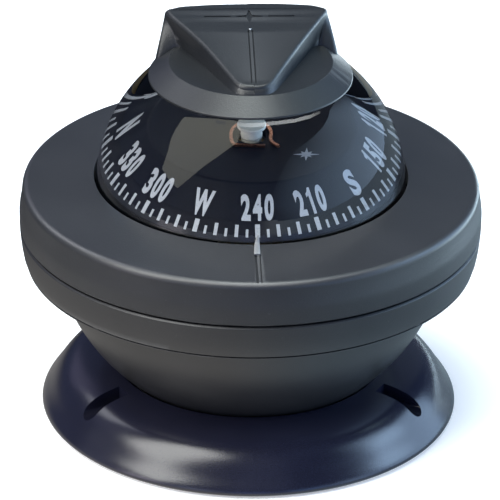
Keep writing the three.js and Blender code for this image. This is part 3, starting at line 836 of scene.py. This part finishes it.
place(turned("expansion_diaphragm", [
    (0, 17.9), (3.0, 17.9), (4.2, 18.6), (5.4, 18.6), (6.2, 17.4), (10.4, 17.4), (10.4, 16.6),
    (5.8, 16.6), (5.0, 17.8), (4.5, 17.8), (3.3, 17.1), (0, 17.1)],
    MAT["rubber"], seg=128, r=0.35), "bowl", "diaphragm")
place(turned("diaphragm_clamp", [(7.6, 15.1), (10.4, 15.1), (10.4, 16.5), (7.6, 16.5)],
             MAT["steel"], seg=128), "bowl", "diaphragm_ring")

plug = turned("fill_plug", [
    (0, 15.4), (2.3, 15.4, 0.25), (2.3, 16.6), (1.45, 16.6),
    *thread(1.45, depth=0.15, z=16.8, half_pitch=0.2, count=10), (1.3, 18.9), (0, 18.9)],
    MAT["brass"], seg=48, r=0.08)
boolean(plug, [box((-1.7, 1.7), (-0.3, 0.3), (15, 15.9))])
plug.data.transform(offset_by(0, FILLER_Y, 0))
place(plug, "bowl", "filler_plug")
seal = turned("plug_washer", [(1.65, 16.7), (2.25, 16.7), (2.25, 17.4), (1.65, 17.4)],
              MAT["rubber"], seg=48, r=0.2)
seal.data.transform(offset_by(0, FILLER_Y, 0))
place(seal, "bowl", "plug_seal")


# --------------------------------------------------------------------- gimbal
def lying(name, corners, material, a):
    """A turned piece whose axis points a degrees from -Y, at the gimbal's height."""
    o = turned(name, corners, material, seg=48, r=0.06)
    o.data.transform(offset_by(0, 0, GIMBAL_Z) @ Matrix.Rotation(rad(a), 4, "Z")
                     @ Matrix.Rotation(rad(90), 4, "X"))
    return o


def trunnion(side, inner, outer, a):
    """Pin from radius inner to outer, with a tapered outer end."""
    return lying("trunnion_" + side, [(0, inner), (0.55, inner), (0.55, outer - 0.2),
                                      (0.4, outer), (0, outer)], MAT["steel"], a)


for side, a in (("left", -90), ("right", 90)):
    place(lying("bush_" + side, [(0.75, 25.4), (1.3, 25.4), (1.6, 25.7), (1.6, 26.6),
                                 (0.75, 26.6)], MAT["brass"], a),
          "bowl", "gimbal_bearing_" + side)
    place(trunnion(side, 23.0, 26.3, a), "gimbal_ring", "pitch_pin_" + side)
for side, a in (("front", 0), ("back", 180)):
    place(trunnion(side, 20.4, 24.6, a), "pivot_frame", "roll_pin_" + side)

hoop = turned("gimbal_hoop", [(22.9, 37.1), (24.9, 37.1), (24.9, 38.9), (22.9, 38.9)],
              MAT["brass"], seg=192, r=0.2)
boolean(hoop, [rod(0.6, (-28, 0, GIMBAL_Z), (28, 0, GIMBAL_Z), 32),
               rod(0.75, (0, -28, GIMBAL_Z), (0, 28, GIMBAL_Z), 32)])
place(hoop, "gimbal_ring", "gimbal_ring")

cradle = turned("pivot_cradle", [
    (0, 26.0), (1.9, 26.0), (2.0, 26.2), (2.0, 34.0, 0.1), (3.8, 34.0, 0.2), (4.0, 34.3),
    (4.0, 41.0, 0.5), (1.8, 43.0, 0.5), (1.6, 49.0), (0, 49.0)], MAT["brass"], seg=64, r=0.12)
boolean(cradle, [bevelled_box((-2.6, 2.6), (-22.2, 22.2), (36.8, 39.2), offset=0.35, segments=3,
                              profile=0.6)], "UNION")
boolean(cradle, [rod(0.65, (0, 0, 45.9), (0, 0, 50), 24),
                 rod(0.6, (0, -23, GIMBAL_Z), (0, -20.2, GIMBAL_Z), 24),
                 rod(0.6, (0, 20.2, GIMBAL_Z), (0, 23, GIMBAL_Z), 24)])
place(cradle, "pivot_frame", "pivot_frame")
place(turned("keel_weight", [
    (2.15, 25.6), (6.4, 25.6, 0.3), (7.0, 26.4, 0.3), (7.0, 33.2, 0.3), (6.4, 33.9, 0.3),
    (2.15, 33.9)], MAT["brass"], seg=96), "pivot_frame", "counterweight")
place(turned("needle", [
    (0, 46.0), (0.5, 46.0), (0.55, 46.1), (0.55, 50.3, 0.3), (0.06, 51.15, 0.02), (0, 51.16)],
    MAT["steel"], seg=32, r=0.05), "pivot_frame", "pivot_needle")

# ----------------------------------------------------------------------- card
EDGE_R, EDGE_Z = 20.9, 44.2  # lower edge of the dial cone
TOP_R, TOP_Z = 14.4, 51.9    # its upper edge, and the height of the flat top
PROUD, SUNK = 0.045, -0.06   # ink above and below the face
NORTH = 240                  # bearing of north on the card, from -Y towards +X
CARD_TURN, LABEL_TURN = 0.7, 0.2
slant = Vector((TOP_R - EDGE_R, TOP_Z - EDGE_Z)).normalized()
outward = Vector((slant.y, -slant.x))

place(turned("dial_cone", [
    (EDGE_R, EDGE_Z, 0.2), (TOP_R, TOP_Z, 0.9), (2.0, TOP_Z, 0.1), (2.0, TOP_Z - 0.8, 0.1),
    (TOP_R - 0.4, TOP_Z - 0.8, 0.7), (EDGE_R - 0.75, EDGE_Z - 0.5, 0.2)],
    MAT["card"], seg=224, r=0.1, n=8), "card", "compass_card")


def on_cone(u, v, w, bearing):
    """Point on the dial: u along the tangent, v up the slope from the edge, w proud, in mm."""
    r = EDGE_R + slant.x * v + outward.x * w
    z = EDGE_Z + slant.y * v + outward.y * w
    a = rad(bearing) + u / (EDGE_R + slant.x * v)
    return Vector((r * math.sin(a), -r * math.cos(a), z)) * MM


def up_slope(r):
    """Distance up the slope from the edge to radius r."""
    return (EDGE_R - r) / -slant.x


def build_marks():
    """A mark every 5 degrees, wider and longer at 10 and 30."""
    bm = bmesh.new()
    for d in range(0, 360, 5):
        if d % 30 == 0:
            half_width, inner_r = 0.40, 18.86
        elif d % 10 == 0:
            half_width, inner_r = 0.29, 18.95
        else:
            half_width, inner_r = 0.215, 19.42
        shape = rectangle(-half_width, half_width, up_slope(20.34), up_slope(inner_r))
        low, high = ([bm.verts.new(on_cone(u, v, w, NORTH - d + CARD_TURN)) for u, v in shape]
                     for w in (SUNK, PROUD))
        bm.faces.new(list(reversed(low)))
        bm.faces.new(high)
        bridge(bm, low, high)
    place(solid("dial_marks", bm, MAT["ink"], 20), "card", None)


build_marks()

# The figure one, with a flag, in a unit cell
FIGURE_ONE = [(0.42, 0), (0.74, 0), (0.74, 1.0), (0.50, 1.0), (0.40, 0.88), (0.16, 0.80),
              (0.16, 0.66), (0.42, 0.72)]


def flat_glyph(character):
    """Filled flat outline of a character as a bmesh, each edge with at most two faces."""
    curve = bpy.data.curves.new("t", "FONT")
    curve.body = character
    curve.size = 1.0
    curve.offset = 0.045
    curve.resolution_u = 6
    o = bpy.data.objects.new("t", curve)
    bpy.context.scene.collection.objects.link(o)
    graph = bpy.context.evaluated_depsgraph_get()
    mesh = bpy.data.meshes.new_from_object(o.evaluated_get(graph))
    bpy.data.objects.remove(o)
    bpy.data.curves.remove(curve)
    flat = bmesh.new()
    flat.from_mesh(mesh)
    bpy.data.meshes.remove(mesh)
    bmesh.ops.remove_doubles(flat, verts=flat.verts, dist=2e-3)
    bmesh.ops.dissolve_degenerate(flat, edges=flat.edges, dist=1e-4)
    for e in [e for e in flat.edges if len(e.link_faces) > 2]:
        if e.is_valid and len(e.link_faces) > 2:
            flat.faces.remove(min(e.link_faces, key=lambda f: f.calc_area()))
    flat.verts.index_update()
    flat.faces.index_update()
    flat.normal_update()
    return flat


def split_corners(flat):
    """Splits a vertex where two outlines only touch. Gives the spots, and the number of
    the spot for each (vertex, face)."""
    corner, spots = {}, []
    for v in flat.verts:
        left, whole = set(v.link_faces), True
        while left:
            stack = [left.pop()]
            while stack:
                f = stack.pop()
                corner[v.index, f.index] = len(spots)
                for e in v.link_edges:
                    if f in e.link_faces:
                        for other in e.link_faces:
                            if other in left:
                                left.discard(other)
                                stack.append(other)
            centre = f.calc_center_median()
            spots.append(v.co.copy() if whole else v.co.lerp(centre, 0.05))
            whole = False
    return corner, spots


def glyph(character):
    """One character as a solid filling a 1 x 1 cell; the one keeps its own margins."""
    if character == "1":
        return prism(FIGURE_ONE, -0.1, 0.1, scale=1.0)
    flat = flat_glyph(character)
    corner, spots = split_corners(flat)
    bm = bmesh.new()
    low = [bm.verts.new((p.x, p.y, -0.1)) for p in spots]
    high = [bm.verts.new((p.x, p.y, 0.1)) for p in spots]
    for f in flat.faces:
        ids = [corner[v.index, f.index] for v in f.verts]
        if f.normal.z < 0:
            ids.reverse()
        bm.faces.new([high[i] for i in ids])
        bm.faces.new([low[i] for i in reversed(ids)])
    for e in flat.edges:
        if len(e.link_faces) == 1:
            i, j = (corner[v.index, e.link_faces[0].index] for v in e.verts)
            bm.faces.new((low[i], low[j], high[j], high[i]))
    flat.free()
    x0, x1 = min(v.co.x for v in bm.verts), max(v.co.x for v in bm.verts)
    y0, y1 = min(v.co.y for v in bm.verts), max(v.co.y for v in bm.verts)
    for v in bm.verts:
        v.co.x = (v.co.x - x0) / (x1 - x0)
        v.co.y = (v.co.y - y0) / (y1 - y0)
    return bm


LETTERS = {0: "N", 90: "E", 180: "S", 270: "W"}
GLYPH_HEIGHT, FIGURE_WIDTH, GLYPH_GAP = 4.45, 1.50, 0.37
LETTER_WIDTH = {"N": 2.45, "E": 1.95, "S": 2.15, "W": 3.25}
GLYPH_FOOT_R = 18.48


def build_numerals():
    bm = bmesh.new()
    foot = up_slope(GLYPH_FOOT_R)
    for d in range(0, 360, 30):
        text = LETTERS.get(d, str(d))
        widths = [LETTER_WIDTH.get(ch, FIGURE_WIDTH) for ch in text]
        x = -(sum(widths) + GLYPH_GAP * (len(widths) - 1)) / 2
        for ch, width in zip(text, widths):
            shape = glyph(ch)
            for v in shape.verts:
                v.co = on_cone(x + v.co.x * width, foot + v.co.y * GLYPH_HEIGHT,
                               PROUD if v.co.z > 0 else SUNK,
                               NORTH - d + CARD_TURN + LABEL_TURN)
            mesh = mesh_from(shape, "t")
            bm.from_mesh(mesh)
            bpy.data.meshes.remove(mesh)
            x += width + GLYPH_GAP
    place(solid("dial_numerals", bm, MAT["ink"], 20), "card", None)


build_numerals()

# printed star on the flat top, right of the hub and in front of it
STAR_X, STAR_Y = 7.7, -5.3
star = []
for k in range(16):
    radius = 1.9 if k % 4 == 0 else 1.15 if k % 4 == 2 else 0.62
    a = rad(22.5 * k)
    star.append((STAR_X + radius * math.cos(a), STAR_Y + radius * math.sin(a)))
place(solid("dial_star", prism(star, TOP_Z + SUNK, TOP_Z + PROUD), MAT["ink"], 20),
      "card", None)

SPIDER_Z = (50.2, 51.0)
spider = turned("magnet_carrier", [(2.5, 50.2), (4.6, 50.2), (4.6, 51.0), (2.5, 51.0)],
                MAT["steel"], seg=64, r=0.08)
for x in ((-8.2, -3.6), (3.6, 8.2)):
    boolean(spider, [bevelled_box(x, (-2.2, 2.2), SPIDER_Z, offset=0.12, segments=2)], "UNION")
place(spider, "card", "card_spider")
place(turned("jewel_bearing", [(0, 51.35), (0.75, 50.5), (1.4, 50.5), (1.4, 51.85), (0, 51.85)],
             MAT["nylon"], seg=48, r=0.06), "card", "jewel_cup")
place(turned("hub_cap", [
    (0, 51.95), (1.45, 51.95), (1.5, 52.2), (1.42, 53.3, 0.15), (2.0, 53.45, 0.1),
    (2.0, 53.9, 0.12), (0, 54.0)],
    MAT["ivory"], seg=64, r=0.1), "card", "jewel_cap")

# Centre line of the clip strip, (x before narrowing, y, lift), once round the hub
CLIP = [(2.05, -3.2, 0.0), (0.2, -3.1, 0.0), (-2.5, -2.85, 0.0), (-3.15, -2.3, 0.0),
        (-3.3, -1.0, 0.0), (-3.1, 0.8, 0.0), (-2.2, 2.3, 0.0), (-0.6, 3.05, 0.0),
        (1.2, 2.9, 0.0), (2.6, 1.9, 0.0), (3.1, 0.4, 0.0), (3.0, -1.2, 0.0),
        (3.3, -2.4, 0.02), (4.35, -3.5, 0.06)]
CLIP_NARROWING, CLIP_Z = 0.86, 51.97
# (across, up) section of the strip
CLIP_SECTION = [(-0.24, 0.05), (-0.19, 0.0), (0.19, 0.0), (0.24, 0.05), (0.24, 0.33),
                (0.19, 0.38), (-0.19, 0.38), (-0.24, 0.33)]


def build_clip():
    curve = spline(CLIP, 6) + [Vector(CLIP[-1])]
    bm = bmesh.new()
    rings = []
    for i, p in enumerate(curve):
        run = (curve[min(i + 1, len(curve) - 1)] - curve[max(i - 1, 0)]).normalized()
        side = Vector((-run.y, run.x, 0)).normalized()
        rings.append([bm.verts.new(Vector((
            CLIP_NARROWING * p.x + side.x * across, p.y + side.y * across,
            CLIP_Z + p.z + rise)) * MM) for across, rise in CLIP_SECTION])
    for a, b in zip(rings, rings[1:]):
        bridge(bm, a, b)
    bm.faces.new(list(reversed(rings[0])))
    bm.faces.new(rings[-1])
    place(solid("spring_clip", bm, MAT["copper"], 30), "card", "card_clip")


build_clip()
for side, x in (("left", -7.4), ("right", 4.8)):
    bar = bevelled_box((x, x + 2.6), (-7.5, 7.5), (47.5, 50.15), offset=0.2, segments=3)
    place(solid("bar_magnet_" + side, bar, MAT["magnet"]), "card", "magnet_" + side)


# ---------------------------------------------------------------------- stage
def floor_material():
    """Pale to the camera. To everything else dark, so that it sends little light back to the piece,
    with glowing zones which light it from below: near, mid and far by distance (m), and by side."""
    material, g = new_material("pale_floor")
    seen = g.add("AddShader", {
        0: g.add("BsdfDiffuse", {"Color": (0.88, 0.88, 0.88)}),
        1: g.add("Emission", {"Color": (1, 1, 1), "Strength": 0.35})})
    position = g.add("NewGeometry").outputs["Position"]
    axes = g.add("SeparateXYZ", {0: position}).outputs
    radius = g.add("VectorMath", {0: position}, operation="LENGTH").outputs["Value"]
    right = g.math("DIVIDE", axes["X"], radius)
    front = g.times(g.math("DIVIDE", axes["Y"], radius), -1.0)

    def lobe(side):
        return g.math("POWER", g.math("MAXIMUM", side, 0.0), 2.0)

    to_front, to_right = lobe(front), lobe(right)
    to_left = lobe(g.plus(g.times(right, -0.9), g.times(front, 0.43)))
    near = g.math("SUBTRACT", 1.0, g.between(radius, 0.065, 0.085))
    far = g.between(radius, 0.15, 0.21)
    mid = g.math("SUBTRACT", g.math("SUBTRACT", 1.0, near), far)
    near_glow = g.plus(g.plus(0.13, g.times(to_front, 0.86)),
                       g.plus(g.times(to_right, 0.36), g.times(to_left, 0.55)))
    mid_glow = g.plus(g.times(to_front, 0.45),
                      g.plus(g.times(to_right, 0.70), g.times(to_left, 0.75)))
    # beyond the mid zone: the right side, brightest behind it
    back = g.between(g.times(front, -1.0), -0.1, 0.3)
    back_right = g.times(g.times(g.between(radius, 0.18, 0.21), g.between(right, 0.05, 0.4)),
                         g.times(back, 5.5))
    far_glow = g.plus(g.times(to_right, 2.3), back_right)

    def inner_glow():
        return g.plus(g.times(near, near_glow), g.times(mid, mid_glow))

    total = g.plus(inner_glow(), g.times(far, far_glow))
    ray = g.add("LightPath").outputs
    sharp = ray["Is Singular Ray"]  # the dome's mirror rays, which see it 4 x dimmer
    far_right = g.times(g.times(far, g.between(right, 0.0, 0.25)), 1.3)
    for_dome = g.times(g.plus(inner_glow(), far_right), 0.25)
    rest = g.math("SUBTRACT", 1.0, sharp)
    strength = g.plus(g.times(total, rest), g.times(for_dome, sharp))
    # warm on the left, cool on the right
    tone = g.mix(g.between(right, -0.3, 0.7), (1.0, 0.97, 0.90), (0.76, 1.0, 1.16))
    lighting = g.add("AddShader", {
        0: g.add("BsdfDiffuse", {"Color": (0.02, 0.02, 0.025)}),
        1: g.add("Emission", {"Color": tone, "Strength": strength})})
    g.surface(g.mix_shader(ray["Is Camera Ray"], lighting, seen))
    return material


bm = bmesh.new()
bmesh.ops.create_grid(bm, x_segments=1, y_segments=1, size=2.5)
floor = add_object("floor", mesh_from(bm, "floor"), floor_material())
floor.location.z = -0.0001


def build_world():
    """White to the camera and through the dome, a dim blue studio to all else."""
    strength, singular_drop = 0.085, -0.064
    world = bpy.data.worlds.new("studio")
    bpy.context.scene.world = world
    world.use_nodes = True
    g = Graph(world.node_tree)
    ray = g.add("LightPath").outputs
    dim = g.add("Background", {"Color": (0.62, 0.85, 1.6), "Strength": strength})
    dim.name = "dim"
    level = g.math("MULTIPLY_ADD", ray["Is Singular Ray"], singular_drop, strength)
    g.tree.links.new(level.outputs[0], dim.inputs["Strength"])
    white = g.add("Background", {"Color": (1, 1, 1), "Strength": 1.0})
    seen = g.math("MAXIMUM", ray["Is Camera Ray"], ray["Is Transmission Ray"])
    g.add("OutputWorld", {"Surface": g.mix_shader(seen, dim, white)})


build_world()

# --------------------------------------------------------------------- lights
LIGHT_DISTANCE = 0.9                # m
LIGHT_TARGET = Vector((0, 0, 0.045))


def direction(azimuth, elevation):
    """Unit vector; azimuth from -Y towards +X."""
    az, el = rad(azimuth), rad(elevation)
    return Vector((math.sin(az) * math.cos(el), -math.cos(az) * math.cos(el), math.sin(el)))


def receivers(name, o):
    """Collection of one object, for light linking."""
    group = bpy.data.collections.new(name)
    bpy.context.scene.collection.children.link(group)
    group.objects.link(o)
    return group


def softbox(group, name, azimuth, elevation, radiance, color, size=(0.36, 0.36), spin=0.0):
    """Rectangular area light aimed at the piece; power set from the wanted radiance."""
    light = bpy.data.lights.new(name, "AREA")
    light.shape = "RECTANGLE"
    light.size, light.size_y = size
    light.energy = radiance * size[0] * size[1] * math.pi
    light.color = color
    o = bpy.data.objects.new(name, light)
    bpy.context.scene.collection.objects.link(o)
    toward = direction(azimuth, elevation)
    o.location = LIGHT_TARGET + toward * LIGHT_DISTANCE
    aim = toward.to_track_quat("Z", "Y").to_matrix().to_4x4()
    o.rotation_euler = (aim @ Matrix.Rotation(rad(spin), 4, "Z")).to_euler()
    o.visible_camera = False
    o.light_linking.receiver_collection = group


# lights that the dome doesn't mirror
all_but_dome = receivers("lit_by_fill", dome)
for item in all_but_dome.collection_objects:
    item.light_linking.link_state = "EXCLUDE"
softbox(all_but_dome, "window_left", azimuth=-56, elevation=45, radiance=8.6,
        color=(0.98, 0.99, 0.96), size=(0.50, 0.72), spin=-28)
softbox(all_but_dome, "panel_right_low", azimuth=58, elevation=9, radiance=1.2,
        color=(0.60, 0.80, 1.15), size=(0.55, 0.40))
softbox(all_but_dome, "panel_right", azimuth=100, elevation=15, radiance=3.8,
        color=(0.55, 0.80, 1.15), size=(0.85, 0.52))
# name, azimuth, elevation, radiance, colour
FILLS = [
    ("fill_left", -60, 8, 2.9, (1.01, 0.93, 1.06)),
    ("fill_left_front", -30, 8, 1.25, (0.85, 0.93, 1.22)),
    ("fill_left_side", -90, 8, 0.35, (0.95, 0.97, 1.08)),
    ("fill_left_back", -105, 32, 0.25, (0.9, 0.9, 1.2)),
    ("fill_back_left", -120, 58, 0.8, (0.88, 0.94, 1.18)),
    ("fill_back", 180, 58, 0.2, (0.85, 0.97, 1.18)),
    ("fill_back_right", 120, 58, 1.6, (0.74, 1.07, 1.17)),
    ("fill_over", -10, 88, 15.5, (0.96, 1.04, 1.02)),
    ("fill_left_high", -128, 45, 3.0, (0.96, 0.98, 1.05)),
    ("fill_right_wall", 86, 27, 3.2, (0.62, 0.90, 1.25)),
    ("fill_front", 0, 8, 0.65, (0.58, 0.76, 1.7)),
    ("fill_front_right", 30, 8, 1.05, (0.5, 0.84, 1.7)),
    ("fill_right", 60, 8, 1.0, (0.59, 0.92, 1.5)),
    ("fill_right_mid", 75, 32, 1.1, (0.68, 0.97, 1.36)),
    ("fill_back_low", 165, 20, 0.12, (0.80, 0.97, 1.15)),
    ("fill_front_high", 5, 40, 0.15, (0.9, 0.95, 1.15)),
    ("fill_low_back", -150, 25, 0.3, (0.95, 0.85, 1.3)),
]
for row in FILLS:
    softbox(all_but_dome, *row)

# light along the bezel's rounded edge: azimuth, elevation, radiance
EDGE_LIGHTS = [(0, 66, 8.0), (0, 48, 3.0), (-75, 55, 4.0), (-125, 33, 2.6), (-128, 50, 2.0),
               (85, 58, 3.0)]
edge_only = receivers("lit_edge", bezel)
for i, row in enumerate(EDGE_LIGHTS):
    softbox(edge_only, f"edge_{i}", *row, color=(0.96, 0.98, 1.02))

# --------------------------------------------------------------------- camera
SENSOR, LENS = 36.0, 390.7368         # mm
SHIFT_X, SHIFT_Y = -0.00072, -0.0381  # in sensor widths
CAMERA_ROLL = rad(0.66)
backward = direction(-2.75, 26.62)
eye = Vector((0, 0, 0.035)) + backward * 1.0  # 1 m from the point it aims at
level_right = (-backward).cross(Vector((0, 0, 1))).normalized()
level_up = level_right.cross(-backward).normalized()
view_right = level_right * math.cos(CAMERA_ROLL) + level_up * math.sin(CAMERA_ROLL)
view_up = level_up * math.cos(CAMERA_ROLL) - level_right * math.sin(CAMERA_ROLL)

lens = bpy.data.cameras.new("camera")
lens.sensor_width = SENSOR
lens.lens = LENS
lens.clip_start, lens.clip_end = 0.05, 20.0
lens.shift_x = SHIFT_X
lens.shift_y = SHIFT_Y
camera = bpy.data.objects.new("camera", lens)
bpy.context.scene.collection.objects.link(camera)
pose = Matrix.Identity(4)
for i in range(3):
    pose[i] = (view_right[i], view_up[i], backward[i], eye[i])
camera.matrix_world = pose
bpy.context.scene.camera = camera
bpy.context.scene.view_settings.view_transform = "Standard"

# -------------------------------------------------------------- mirror panels
# Sheets of light that only the dome mirrors. Their edges are given where the mirror images
# fall on the sensor: mm right of and above the middle of the image, seen upright.
MIRROR_DISTANCE = 1.3  # m from the origin
MIRROR_DIM = 0.25      # the dome's glass mirrors about 4 x too strongly

# left end x, y, right end x, y, radiance at each end
WINDOW_ROWS = [
    (-4.752, 9.576, -1.008, 9.36, 3.2, 3.4), (-5.256, 8.856, -0.648, 8.568, 3.1, 3.4),
    (-5.688, 7.992, -0.864, 7.776, 3.0, 3.2), (-5.904, 7.128, -1.656, 7.2, 2.9, 3.0),
    (-6.12, 6.48, -2.448, 6.624, 2.8, 2.8), (-6.336, 5.832, -3.384, 5.976, 2.7, 2.7),
    (-5.904, 5.184, -4.32, 5.184, 2.5, 2.5), (-5.256, 4.464, -5.184, 4.464, 2.4, 2.4)]
# y, left x, right x, radiance at each end
SIDE_ROWS = [
    (11.088, 6.336, 6.912, 0.25, 0.58), (10.512, 6.048, 7.632, 1.5, 3.19),
    (10.08, 5.76, 8.352, 2.38, 4.21), (9.504, 5.616, 9.072, 2.75, 4.64),
    (8.784, 5.184, 9.792, 2.12, 5.08), (8.208, 4.608, 10.152, 1.5, 5.37),
    (7.704, 4.032, 10.368, 1.0, 5.65), (7.2, 3.312, 10.584, 0.56, 5.94),
    (6.48, 2.736, 10.728, 0.38, 6.09), (5.4, 2.16, 10.728, 0.31, 5.8),
    (4.32, 1.728, 10.656, 0.25, 5.22), (3.24, 1.584, 10.368, 0.25, 4.64),
    (2.016, 2.016, 9.504, 0.12, 3.19), (1.296, 2.88, 8.784, 0.0, 0.58)]
# x, top y, bottom y, radiance
ARC_ROWS = [
    (-2.664, 9.3384, 9.1008, 2), (-1.44, 9.216, 8.9784, 3), (-0.36, 9.1296, 8.8416, 7),
    (0.36, 9.1296, 8.8416, 10), (1.08, 9.1872, 8.8992, 11), (2.16, 9.3024, 9.0432, 11),
    (3.24, 9.4392, 9.1728, 12), (4.32, 9.7272, 9.4752, 9), (5.04, 9.9792, 9.8208, 3)]
ARC_LEAN = 0.0072  # the bottom of each arc row lies this far right

dome_only = receivers("mirrored_by_dome", dome)


def mirrored_point(x, y):
    """The point that the dome mirrors at this place on the sensor."""
    ray = (view_right * ((x + SHIFT_X * SENSOR) / LENS)
           + view_up * ((y + SHIFT_Y * SENSOR) / LENS) - backward).normalized()
    centre, radius = Vector((0, 0, DOME_Z)) * MM, DOME_R * MM
    offset = eye - centre
    k = offset.dot(ray)
    hit = eye + ray * (-k - math.sqrt(max(0.0, k * k - offset.dot(offset) + radius * radius)))
    normal = (hit - centre) / radius
    bounce = ray - normal * (2 * ray.dot(normal))
    k = hit.dot(bounce)
    return hit + bounce * (-k + math.sqrt(k * k - hit.dot(hit)
                                          + MIRROR_DISTANCE * MIRROR_DISTANCE))


def mirrored(name, rows, color, steps=8):
    """A curved sheet of light from rows of (x, y, x, y, radiance, radiance)."""
    bm = bmesh.new()
    values, grid = [], []
    for x0, y0, x1, y1, start, end in rows:
        row = []
        for i in range(steps + 1):
            t = i / steps
            row.append(bm.verts.new(mirrored_point(x0 + (x1 - x0) * t, y0 + (y1 - y0) * t)))
            values.append((start + (end - start) * t) * MIRROR_DIM)
        grid.append(row)
    for a, b in zip(grid, grid[1:]):
        for i in range(steps):
            bm.faces.new((a[i], a[i + 1], b[i + 1], b[i]))
    mesh = mesh_from(bm, name)
    mesh.attributes.new("radiance", "FLOAT", "POINT").data.foreach_set("value", values)
    material, g = new_material(name + "_light")
    radiance = g.add("Attribute", attribute_name="radiance").outputs["Fac"]
    g.surface(g.add("Emission", {"Color": color, "Strength": radiance}))
    o = add_object(name, mesh, material)
    o.visible_camera = False
    o.visible_shadow = False
    o.light_linking.receiver_collection = dome_only


mirrored("mirror_window", WINDOW_ROWS, color=(1.0, 1.0, 0.88))
mirrored("mirror_side", [(x0, y, x1, y, start, end) for y, x0, x1, start, end in SIDE_ROWS],
         color=(0.62, 0.86, 1.18))
mirrored("mirror_arc", [(x, y0, x + ARC_LEAN, y1, value, value) for x, y0, y1, value in ARC_ROWS],
         color=(0.96, 0.99, 1.0))
bpy.context.view_layer.update()
